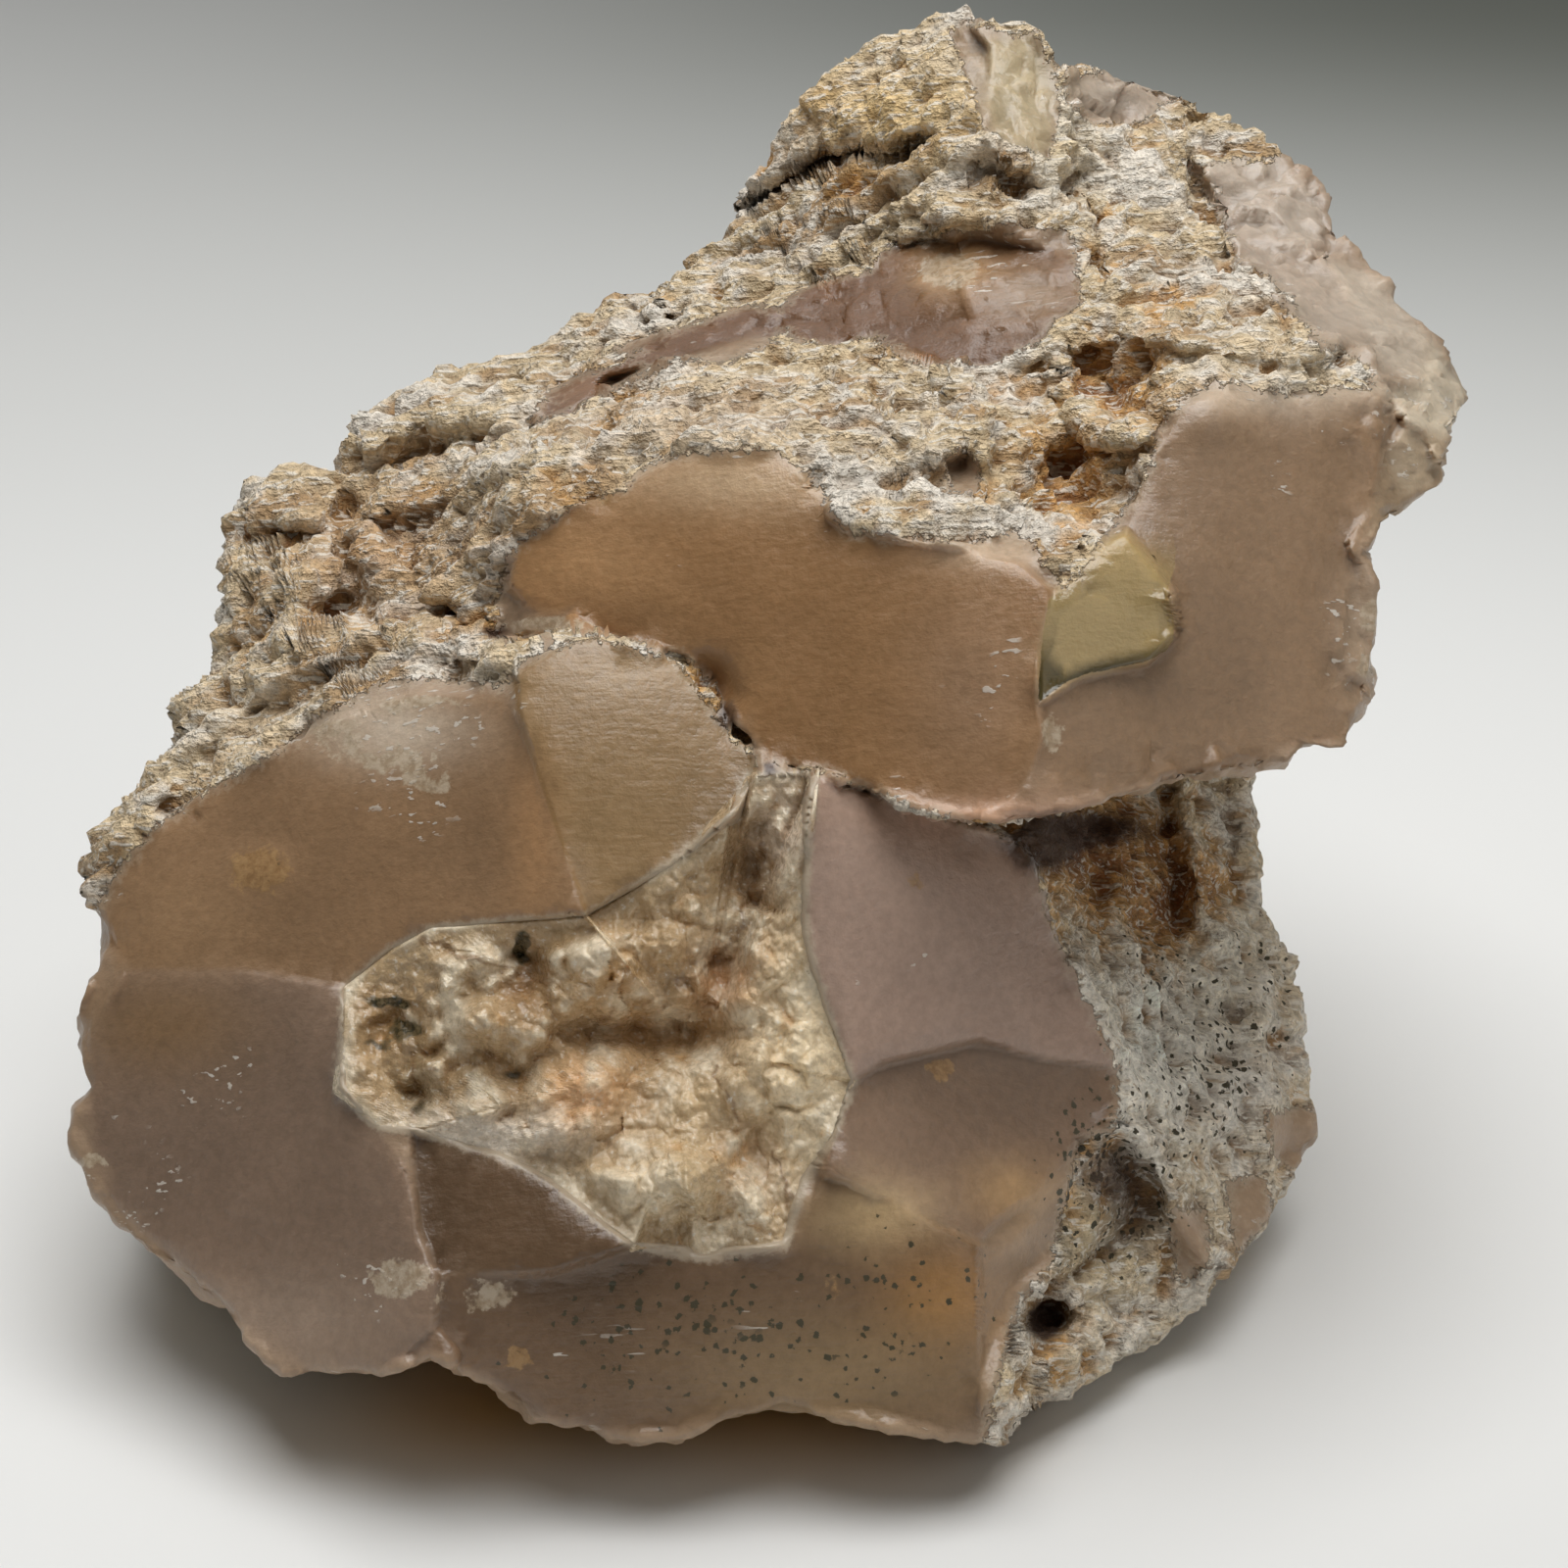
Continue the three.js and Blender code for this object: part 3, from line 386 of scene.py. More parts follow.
def lumps(x, y):
    """Lumps of the rind, drawn out along the grain of the bark, which climbs to the right."""
    along, across = (0.87 * x - 0.5 * y) / 1.5, 0.5 * x + 0.87 * y
    return noise(along / 60, across / 60) + 0.7 * noise(along / 30 + 9, across / 30)


def stand(spots, x, y):
    """Bosses and hollows: each is a bell with its own half width and half height."""
    return sum(up * bell(x, y, cx, cy, rx, ry) for cx, cy, rx, ry, up in spots)


def relief_of(limb):
    """Gives the height of a limb's front at x, y: planes on its faces, the lumpy sheet elsewhere. Near the
    rim a face spreads out as far as the rim, for the break ends there in a sharp edge."""
    sheet = sheet_over(limb["pins"])
    planes = [(outline, plane_of(outline, lean, sheet)) for outline, lean in limb["faces"].values()]

    def height(x, y):
        ground = sheet(x, y)
        at_rim = FACE_REACH * smooth(inside(limb["outline"], x, y), 30, 10)
        total, weight = 0.0, 0.0
        for outline, plane in planes:
            share = smooth(inside(outline, x, y) + at_rim, -FACE_EDGE, FACE_EDGE)
            total = total + share * (FLATNESS * plane(x, y) + (1 - FLATNESS) * ground)
            weight = weight + share
        rough = np.maximum(0, 1 - weight)
        rise = sum(up * np.exp(-((gap(line, x, y) / wide) ** 2)) for up, wide, line in limb["ridges"])
        rind = ground + RIND_LUMP * lumps(x, y) + rise
        return (total + rough * rind) / (weight + rough) + stand(limb["spots"], x, y)

    return height


lower_relief = relief_of(LOWER)
upper_relief = relief_of(UPPER)
back_sheet = sheet_over(BACK_PINS)
print("height at the heart of the lower limb:", round(float(lower_relief(640.0, 1000.0)), 2), "mm")

# %% [markdown]
# ## One closed grid for each limb
# A limb is made as two square grids that share their rim, like a pillow with a front and a back cover.
# Square rings about the middle of the grid become rings about the limb's heart, out to its outline. The
# front stands at the relief, and the back swells from the rim to a sheet behind. Boxes or spheres pulled
# into shape would leave the outline, which is what the eye checks first, to chance.

# %% Rings from the heart to the outline
QUARTZ = {
    "outline": [
        (346, 1112), (350, 1060), (352, 1008), (400, 970), (440, 948), (540, 940), (600, 936), (650, 906),
        (700, 870), (745, 828), (762, 792), (832, 786), (824, 860), (820, 930), (830, 990), (850, 1052),
        (870, 1105), (850, 1158), (820, 1205), (802, 1270), (720, 1284), (650, 1272), (600, 1236),
        (560, 1202), (500, 1175), (430, 1156), (385, 1150),
    ],
    "heart": (712, 1070),
    "spots": [
        (600, 1112, 42, 34, 5), (700, 1128, 36, 36, 4), (705, 1195, 60, 40, 3.5), (500, 1045, 50, 26, 4.5),
        (400, 1045, 34, 24, -2.5), (545, 985, 22, 34, -2.5), (670, 1056, 74, 24, -5),
        (735, 985, 26, 40, -4), (525, 1095, 16, 14, -2.5), (610, 1000, 40, 40, 2.5), (780, 1100, 46, 60, 3),
        (470, 985, 40, 26, 2), (760, 1190, 26, 30, -2), (425, 1115, 16, 26, -2.5), (765, 880, 16, 50, -3),
        (560, 1160, 40, 24, 2.5),
    ],
}


def rim_of(shape, angle):
    """The pixel where a ray from the heart, at this angle, leaves the outline."""
    hx, hy = shape["heart"]
    dx, dy = np.cos(angle), np.sin(angle)
    far = np.zeros(angle.shape)
    closed = [*shape["outline"], shape["outline"][0]]
    for (ax, ay), (bx, by) in zip(closed[:-1], closed[1:]):
        side = dx * (by - ay) - dy * (bx - ax)
        side = np.where(np.abs(side) < 1e-9, 1e-9, side)
        t = ((ax - hx) * (by - ay) - (ay - hy) * (bx - ax)) / side
        s = ((ax - hx) * dy - (ay - hy) * dx) / side
        far = np.where((s >= 0) & (s <= 1) & (t > far), t, far)
    return hx + far * dx, hy + far * dy


def rings(cells):
    """For each point of a square grid: its share of the way out, and its angle about the middle."""
    steps = np.arange(-cells, cells + 1)
    i, j = np.meshgrid(steps, steps, indexing="ij")
    share = np.maximum(np.abs(i), np.abs(j)) / cells
    wide = np.abs(i) >= np.abs(j)
    flatter = np.pi / 4 * j / np.where(i == 0, 1, i) + np.pi * (i < 0)
    steeper = np.pi / 2 * np.sign(j) - np.pi / 4 * i / np.where(j == 0, 1, j)
    return share, np.where(wide, flatter, steeper)


def quads(index):
    """The four-sided faces between neighbours of a grid of point numbers."""
    return np.stack([index[:-1, :-1], index[:-1, 1:], index[1:, 1:], index[1:, :-1]], axis=-1).reshape(-1, 4)


def mesh_from(name, points, faces):
    """A Blender mesh, in metres, from points in millimetres."""
    mesh = bpy.data.meshes.new(name)
    mesh.from_pydata((points * 0.001).tolist(), [], faces if isinstance(faces, list) else faces.tolist())
    mesh.validate()
    mesh.update()
    return mesh


def points_of(mesh):
    """The points of a mesh as one array, in millimetres."""
    flat_list = np.empty(len(mesh.vertices) * 3)
    mesh.vertices.foreach_get("co", flat_list)
    return flat_list.reshape(-1, 3) * 1000


def normals_of(mesh):
    """The unit normals of a mesh's points as one array."""
    flat_list = np.empty(len(mesh.vertices) * 3)
    mesh.vertex_normals.foreach_get("vector", flat_list)
    return flat_list.reshape(-1, 3)


print("the outline straight right of the heart is at x =", round(float(rim_of(LOWER, np.zeros(1))[0][0]), 1))

# %% The pillow of one limb
POCKET_SINK = 9.0  # millimetres that the stone sinks under the quartz
LIMB_CELLS = 125


def limb_front(limb, relief, x, y):
    """The height of the front, with the pocket sunk into the lower limb."""
    height = relief(x, y)
    if limb is LOWER:
        height = height - POCKET_SINK * smooth(inside(QUARTZ["outline"], x, y), 1, 24)
    return height


def limb_mesh(name, limb, relief):
    """Front: pixels between heart and rim by share, at the relief. Back: the share turns through a quarter
    circle, so the pixel stays near the rim at first while the height swells from the rim's to the back
    sheet's."""
    share, angle = rings(LIMB_CELLS)
    end_x, end_y = rim_of(limb, angle)
    heart_x, heart_y = limb["heart"]

    x, y = heart_x + (end_x - heart_x) * share, heart_y + (end_y - heart_y) * share
    front = place(x, y, limb_front(limb, relief, x, y))

    turn = np.pi / 2 * (1 - share)
    out = np.cos(turn) ** 0.8
    x, y = heart_x + (end_x - heart_x) * out, heart_y + (end_y - heart_y) * out
    edge = relief(end_x, end_y)
    behind = back_sheet(x, y) + 2.5 * RIND_LUMP * lumps(0.7 * x + 900, 0.7 * y)
    back = place(x, y, edge + (behind - edge) * np.sin(turn) ** 0.9)

    index = np.arange(share.size).reshape(share.shape)
    behind_index = np.where(share == 1, index, index + share.size)
    faces = np.concatenate([quads(index), quads(behind_index)[:, ::-1]])
    points = np.concatenate([front.reshape(-1, 3), back.reshape(-1, 3)])
    used, faces = np.unique(faces, return_inverse=True)
    return mesh_from(name, points[used], faces.reshape(-1, 4))


lower_mesh = limb_mesh("lower_limb", LOWER, lower_relief)
upper_mesh = limb_mesh("upper_limb", UPPER, upper_relief)
print("points:", len(lower_mesh.vertices), "and", len(upper_mesh.vertices))

# %% [markdown]
# ## Which place is rind and which is break
# The same outlines say where the break is, but a sight line also leaves the stone again at the back. So a
# point counts as front only where its height is close to the relief, and everything else is rind, as on the
# real stone, whose back was never broken.

# %% Where the break ends at the rind
SLAB_BREAK = [
    (511, 662), (505, 612), (520, 561), (556, 536), (587, 515), (633, 500), (659, 474), (690, 464),
    (741, 459), (787, 459), (818, 479), (844, 505), (851, 526), (869, 544), (915, 546), (956, 551),
    (1002, 551), (1033, 541), (1054, 556), (1069, 579), (1085, 597), (1103, 590), (1121, 554), (1144, 523),
    (1167, 492), (1179, 441), (1205, 410), (1236, 392), (1262, 390), (1297, 400), (1338, 400), (1374, 395),
    (1400, 395), (1403, 374), (1390, 359), (1344, 349), (1313, 303), (1297, 287), (1251, 272), (1241, 221),
    (1215, 169), (1262, 152), (1330, 165), (1390, 200), (1430, 270), (1530, 390), (1500, 500), (1430, 545),
    (1420, 600), (1430, 700), (1395, 785), (1330, 790), (1270, 797), (1166, 820), (1062, 845), (1017, 852),
    (980, 840), (950, 828), (900, 812), (860, 795), (830, 785), (780, 780), (750, 750), (735, 722),
    (700, 672), (640, 655), (596, 655),
]
LOWER_BREAK = [
    (85, 980), (92, 935), (125, 880), (150, 850), (200, 813), (256, 782), (298, 754), (321, 731),
    (357, 715), (382, 698), (424, 692), (481, 695), (515, 700), (535, 672), (604, 650), (690, 674),
    (742, 742), (775, 775), (832, 785), (930, 820), (1020, 848), (1051, 867), (1059, 892), (1069, 923),
    (1079, 954), (1092, 985), (1108, 1021), (1128, 1056), (1141, 1087), (1141, 1128), (1138, 1154),
    (1104, 1165), (1095, 1195), (1082, 1250), (1072, 1290), (1040, 1330), (1020, 1400), (1000, 1500),
    (900, 1485), (800, 1465), (695, 1495), (530, 1475), (440, 1400), (385, 1430), (270, 1415), (180, 1325),
    (90, 1245), (50, 1160), (65, 1040),
]
CLEAR_ABOVE = {  # places on the upper limb where the rind is gone
    "smoky band": [
        (536, 432), (560, 398), (600, 372), (650, 352), (720, 328), (780, 306), (880, 276), (905, 250),
        (1000, 236), (1085, 246), (1100, 268), (1104, 310), (1060, 352), (1010, 376), (950, 366),
        (880, 352), (800, 352), (740, 372), (690, 372), (640, 392), (590, 420),
    ],
    "crown": [
        (975, 30), (1010, 18), (1050, 34), (1078, 75), (1082, 120), (1070, 165), (1035, 150), (1000, 130),
        (985, 80),
    ],
    "crown back": [
        (1090, 105), (1092, 66), (1135, 62), (1185, 80), (1212, 98), (1184, 122), (1150, 130), (1110, 125),
    ],
    "small window": [(960, 468), (985, 458), (1003, 478), (998, 503), (972, 506)],
}
CLEAR_BELOW = {  # and on the lower limb
    "side low": [(1250, 1205), (1292, 1198), (1300, 1240), (1262, 1282)],
    "side edge": [(1290, 1135), (1350, 1128), (1352, 1172), (1322, 1200), (1296, 1180)],
    "side foot": [(1192, 1235), (1232, 1232), (1236, 1290), (1200, 1312)],
}
GREEN_WINDOW = [
    (1070, 609), (1100, 596), (1122, 566), (1146, 530), (1170, 505), (1196, 530), (1202, 570), (1191, 606),
    (1199, 637), (1198, 654), (1188, 668), (1168, 676), (1140, 682), (1109, 688), (1087, 697), (1060, 718),
    (1058, 704), (1065, 637),
]


def deepest(outlines, x, y):
    """Pixels inside the nearest of several outlines."""
    return np.max([inside(outline, x, y) for outline in outlines], axis=0)


def break_depth(x, y, upper):
    """Pixels inside the break: negative on the rind."""
    above = deepest([SLAB_BREAK, *CLEAR_ABOVE.values()], x, y)
    below = deepest([LOWER_BREAK, *CLEAR_BELOW.values()], x, y)
    return np.where(upper, above, below)


print("windows in the rind:", [*CLEAR_ABOVE, *CLEAR_BELOW])

# %% Front or back, upper or lower
OUTLINE_SLACK = 14  # pixels outside its outline where a limb may still be
ON_FRONT, BEHIND, FAR = 4, 8, 100  # millimetres off the relief: on the front, behind it, on another limb


def reading(points):
    """For points in millimetres: pixels x and y, whether each is nearer the upper limb's front than the
    lower's, and how surely it is on a front at all, 0 to 1."""
    x, y, height = sight(points)
    off = []
    for limb, relief in ((UPPER, upper_relief), (LOWER, lower_relief)):
        outside = inside(limb["outline"], x, y) < -OUTLINE_SLACK
        off.append(np.abs(height - limb_front(limb, relief, x, y)) + np.where(outside, FAR, 0))
    upper = off[0] <= off[1]
    front = smooth(np.minimum(*off), BEHIND, ON_FRONT)
    return x, y, upper, front


x, y, upper, front = reading(points_of(upper_mesh))
print("share of the upper limb's points on its front:", round(float(front.mean()), 2))

# %% [markdown]
# ## Weathering
# Wood rots along its grain, so the rind is furrowed along the limb, and it is grainy, because it grew as
# countless small clots of silica. The break is smooth, with slow swells. Real geometry carries what is
# wider than a millimetre, because it catches light and shadow from every side. Finer grain is left to the
# finish. Where the break runs out to the rim it ends in a clean, nicked edge, so the rind behind that edge
# has to keep back from it.

# %% Grains and furrows
GRAIN_ALONG = np.array([0.80, -0.16, 0.58])  # the way the bark's grain runs over the top
GRAIN_DOWN = np.array([0.12, -0.20, 0.97])  # and down the right side of the lower limb
SPLINTERED = [  # where the upper limb's break is all small flakes: x, y, half width, half height, how much
    (1290, 230, 90, 80, 1.0), (1440, 400, 60, 90, 0.7), (1045, 100, 40, 60, 0.6), (1000, 290, 90, 40, 0.35),
    (1135, 95, 60, 30, 0.8), (1390, 680, 30, 90, 0.4), (1250, 780, 110, 20, 0.4), (820, 320, 130, 30, 0.25),
]


def grains(points, size):
    """The nearest of many scattered centres: the distance to it in grain sizes, 0 at a centre and near 1
    between them, and the height of a tilted flake about it, which leans its own way and is about 1 high."""
    spot = points / size
    cell = np.floor(spot)
    near, flake = np.full(len(spot), 9.0), np.zeros(len(spot))
    for step in np.ndindex(3, 3, 3):
        home = cell + np.array(step) - 1
        chance = np.stack([toss(*(home + k).T) for k in (0, 17, 31)], axis=-1)
        away = spot - home - 0.5 - 0.42 * chance
        distance = np.linalg.norm(away, axis=1)
        flake = np.where(distance < near, np.sum(away * chance[:, ::-1], axis=1), flake)
        near = np.minimum(near, distance)
    return near, flake


def furrows(points, size, grain):
    """Ridged noise drawn out fourfold along the grain: sharp-topped ribs with round valleys."""
    along = grain / np.linalg.norm(grain)
    squeezed = points / size - np.outer(points @ along, along) * (0.76 / size)
    return 1 - 2 * np.abs(noise(*squeezed.T))


print("the grain climbs over the top by", round(float(GRAIN_ALONG[2] / GRAIN_ALONG[0]), 2), "to 1")

# %% The rind's relief and the break's
PITS = 1.3  # millimetres that the deepest pits of the rind go in
TUCK = 1.2  # millimetres that the rind is tucked in behind a broken rim


def rind_relief(points, side, near, flake):
    """Millimetres that the rind stands out: ribs and fibres along the grain, which turns down the right
    side, then lumps, scattered grains with their own tilt, and pits."""
    ribs = (1 - side) * furrows(points, 2.8, GRAIN_ALONG) + side * furrows(points, 2.6, GRAIN_DOWN)
    fibres = (1 - side) * furrows(points, 1.3, GRAIN_ALONG) + side * furrows(points, 1.3, GRAIN_DOWN)
    rough = ribs + 0.6 * fibres + 0.6 * lumpy(points, 5.5) + 0.25 * lumpy(points, 1.4)
    rough = rough + 0.7 * (0.55 - near) + 0.7 * flake + 0.35 * (0.5 - grains(points, 1.4)[0])
    rough = rough - PITS * smooth(lumpy(points, 3.4, 40), 0.35, 0.75)
    return rough * (1 - 0.35 * side) - 0.3


def break_relief(points, broken, split, depth, flake):
    """Millimetres that the break stands out: slow swells, shallow chips near the rind, tilted flakes where
    it is splintered, and nicks at the rim."""
    swell = 0.30 * lumpy(points, 13) + 0.12 * lumpy(points, 4) + 0.04 * lumpy(points, 1.5)
    chips = 0.5 * smooth(lumpy(points, 2.6, 90), 0.55, 0.9) * smooth(broken, 50, 0)
    flakes = split * (2.2 * grains(points, 6.0)[1] + 1.1 * flake)
    nicks = 0.7 * lumpy(points, 6, 11) + 0.6 * lumpy(points, 2.4, 23) + 0.3 * lumpy(points, 1)
    return swell - chips + flakes + nicks * smooth(depth, 14, 2)


def weathered(mesh):
    """Moves each point along its normal: much on the rind, a little on the break. Behind a broken rim the
    rind is tucked in, so that the edge seen from the front is the break's own."""
    points = points_of(mesh)
    x, y, upper, front = reading(points)
    broken = break_depth(x, y, upper)
    bark = 1 - front * smooth(broken + 9 * lumpy(points, 2.2), -4, 4)
    side = smooth(x, 1000, 1060) * ~upper * front
    near, flake = grains(points, 2.6)
    depth = np.where(upper, inside(UPPER["outline"], x, y), inside(LOWER["outline"], x, y))
    tucked = (1 - front) * smooth(depth, 60, 10) * smooth(broken, 0, 8)
    on_rind = rind_relief(points, side, near, flake) * (1 - 0.6 * tucked)
    on_break = break_relief(points, broken, stand(SPLINTERED, x, y) * upper * front, depth, flake)
    move = bark * on_rind + (1 - bark) * on_break - TUCK * tucked
    points = points + normals_of(mesh) * move[:, None]
    points[:, 2] = np.maximum(points[:, 2], 0)
    mesh.vertices.foreach_set("co", (points * 0.001).ravel())
    mesh.update()


for mesh in (lower_mesh, upper_mesh):
    weathered(mesh)
print("weathered", len(lower_mesh.vertices) + len(upper_mesh.vertices), "points")

# %% [markdown]
# ## One stone
# The two limbs grew into one cast, so they are joined by a Boolean union, which also throws away what is
# hidden inside. Decimate then thins the mesh where it is flat, because a reusable part should stay light.

# %% Union and thinning
STONE_TRIANGLES = 192000


def finished(obj):
    """The object with its modifiers worked into its mesh."""
    done = bpy.data.meshes.new_from_object(obj.evaluated_get(bpy.context.evaluated_depsgraph_get()))
    obj.modifiers.clear()
    obj.data = done
    return obj


stone = bpy.data.objects.new("stone", lower_mesh)
other = bpy.data.objects.new("other_limb", upper_mesh)
for piece in (stone, other):
    bpy.context.scene.collection.objects.link(piece)
union = stone.modifiers.new("union", "BOOLEAN")
union.operation, union.solver, union.object = "UNION", "MANIFOLD", other
finished(stone)
bpy.data.objects.remove(other)
stone.data.calc_loop_triangles()
count = len(stone.data.loop_triangles)
thin = stone.modifiers.new("thin", "DECIMATE")
thin.ratio = min(1, STONE_TRIANGLES / count)
finished(stone)
stone.data.calc_loop_triangles()
stone.data.shade_smooth()
print("triangles:", count, "thinned to", len(stone.data.loop_triangles))

# %% [markdown]
# ## The quartz
# Where the cast didn't fill, clear water left quartz: sugary masses, blunt crystal points and a few
# hollows. It is its own piece, a front grid of crowded six-sided pyramids, closed behind by one wall and
# one floor face inside the stone. Its rim dives under the stone, so the joint shows the ragged line that
# two minerals really make.

# %% Crowded crystals
def druse(x, y, pitch, seed, steep):
    """Seeds jittered on a grid of one pitch, each a six-sided pyramid, turned and tipped by chance. The
    height is that of the highest pyramid, in pitches: its size less its steepness times the distance across
    the hexagon."""
    cell_x, cell_y = np.floor(x / pitch), np.floor(y / pitch)
    best = np.full(np.shape(x), -9.0)
    for step_x, step_y in np.ndindex(3, 3):
        i, j = cell_x + step_x - 1, cell_y + step_y - 1
        chance = [toss(i, j, seed + k) for k in range(5)]
        dx, dy = x / pitch - i - 0.5 - 0.4 * chance[0], y / pitch - j - 0.5 - 0.4 * chance[1]
        turns = [np.pi * chance[2] + k * np.pi / 3 for k in range(3)]
        across = np.max([np.abs(dx * np.cos(t) + dy * np.sin(t)) for t in turns], axis=0)
        height = 0.6 + 0.25 * chance[3] - steep * across + 0.5 * steep * (chance[4] * dx + chance[0] * dy)
        best = np.maximum(best, height)
    return best


QUARTZ_CELLS = 125
QUARTZ_LAP = 14  # pixels that the quartz runs on under the stone
DISH, DIVE, WALL = 1.5, 3.2, 6.0  # millimetres: how far it dishes, dives at the rim, and goes down behind it
ROUND_LUMPS = [(700, 1128, 42, 40, 1), (600, 1112, 40, 30, 0.6)]
SUGAR = [(500, 1165, 90, 30, 1), (800, 950, 30, 120, 1), (760, 1240, 80, 40, 0.8), (480, 985, 60, 40, 0.8)]


def quartz_mesh():
    """Rings from the heart to the outline and a little on. At the rim the quartz is level with the stone.
    Inside it is a shallow dish with lumps and vugs, blunt blocks and finer crystals, and past the rim it
    dives."""
    share, angle = rings(QUARTZ_CELLS)
    end_x, end_y = rim_of(QUARTZ, angle)
    heart_x, heart_y = QUARTZ["heart"]
    reach = np.hypot(end_x - heart_x, end_y - heart_y)
    out = share * (1 + QUARTZ_LAP / reach)
    x, y = heart_x + (end_x - heart_x) * out, heart_y + (end_y - heart_y) * out
    depth = inside(QUARTZ["outline"], x, y)
    middle = float(lower_relief(float(heart_x), float(heart_y)))
    dish = middle + (lower_relief(end_x, end_y) - middle) * share**2 - DISH * (1 - share**2)
    open_share = smooth(depth, 6, 40)
    height = dish + (stand(QUARTZ["spots"], x, y) - 0.6) * open_share
    bent_x, bent_y = x + 7 * noise(x / 22, y / 22), y + 7 * noise(x / 22 + 40, y / 22)
    blocks = 5.0 * druse(bent_x, bent_y, 58, 3, 0.62) + 2.6 * druse(bent_x, bent_y, 27, 8, 0.75)
    blocks = blocks * (1 - np.clip(stand(ROUND_LUMPS, x, y), 0, 0.9)) - 2.0
    sugared = np.clip(0.3 + stand(SUGAR, x, y), 0, 1)
    sugar = 0.7 * druse(x, y, 10, 14, 0.8) * sugared + 0.15 * noise(x / 6, y / 6)
    height = height + blocks * open_share + sugar * smooth(depth, 0, 12)
    height = height - DIVE * smooth(depth, 2, -13)
    front = place(x, y, height)
    floor = place(x, y, np.where(share == 1, height - WALL, 0))
    index = np.arange(share.size).reshape(share.shape)
    n = 2 * QUARTZ_CELLS
    loop = np.concatenate([index[:n, 0], index[n, :n], index[n:0:-1, n], index[0, n:0:-1]])
    below = share.size + np.arange(len(loop))
    points = np.concatenate([front.reshape(-1, 3), floor.reshape(-1, 3)[loop]])
    wall = np.stack([loop, np.roll(loop, -1), np.roll(below, -1), below], axis=-1)
    faces = [*quads(index).tolist(), *wall.tolist(), below[::-1].tolist()]
    return mesh_from("quartz", points, faces)


quartz = bpy.data.objects.new("quartz", quartz_mesh())
bpy.context.scene.collection.objects.link(quartz)
print("quartz:", len(quartz.data.vertices), "points")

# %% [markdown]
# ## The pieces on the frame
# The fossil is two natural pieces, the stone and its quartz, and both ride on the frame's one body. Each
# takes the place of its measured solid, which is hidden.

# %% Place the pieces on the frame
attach(stone, "root")
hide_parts("limb_cast")
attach(quartz, "root")
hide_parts("quartz_crust")
print("two pieces ride on the one body")

# %% [markdown]
# ## Where each colour lies
# The break isn't one colour: each face cut a different depth of the milky, clear and stained silica.
# Painting an image would fix that to one view and one size, so the colours are kept as numbers on the
# points of the mesh, worked out from the same outlines. Distances in pixels to an outline stay sharp
# between points, because the finish cuts them at a line of its own. Soft changes are bells of colour laid
# over each other, as with thin washes.

# %% Colours, and how deep each point lies in the break or in the rind
def colour(red, green, blue):
    """A colour given in 0 to 255, as the eye sees it, turned into amounts of light."""
    share = np.array([red, green, blue]) / 255
    return np.where(share <= 0.04045, share / 12.92, ((share + 0.055) / 1.055) ** 2.4)


OUTSIDE = -60  # pixels: the depth of a point that a zone's outline can't reach
RIND_BEHIND = 22  # pixels: how deep in the rind the whole back counts
LAYER_UNIT = 10  # pixels that make 1 in a layer

points = points_of(stone.data)
x, y, upper, front = reading(points)
broken = break_depth(x, y, upper)
worn = 32 * smooth(lumpy(points, 15, 7), 0.5, 0.85)  # the back is worn through in a few places
frayed = 16 * upper * smooth(y, 400, 360) * lumpy(points, 4.5, 50)  # high up the two run into each other
bark = np.clip(-broken + frayed, OUTSIDE, -OUTSIDE) * front + (RIND_BEHIND - worn) * (1 - front)
print("share of the points on rind:", round(float((bark > 0).mean()), 2))

# %% [markdown]
# Dirt settles in hollows and edges are rubbed clean, on every old stone. Both need to know what is a hollow
# and what is a crest. A copy of the mesh in which each point moves to the middle of its neighbours, again
# and again, loses its small relief, and what a point stands above that copy tells a crest from a hollow.

# %% Crests and hollows
def crests(mesh, rounds=14):
    """Millimetres that each point stands out of a copy smoothed by averaging neighbours."""
    points, edges = points_of(mesh), np.empty(len(mesh.edges) * 2, int)
    mesh.edges.foreach_get("vertices", edges)
    ends = np.concatenate([edges[::2], edges[1::2]])
    others = np.concatenate([edges[1::2], edges[::2]])
    neighbours = np.maximum(np.bincount(ends, minlength=len(points)), 1)
    calm = points.copy()
    for _ in range(rounds):
        near = np.stack([np.bincount(ends, calm[others, k], len(points)) for k in range(3)], axis=-1)
        calm = 0.3 * calm + 0.7 * near / neighbours[:, None]
    return np.sum((points - calm) * normals_of(mesh), axis=1)


crest = crests(stone.data)
print("crests stand out by up to", round(float(crest.max()), 2), "mm")

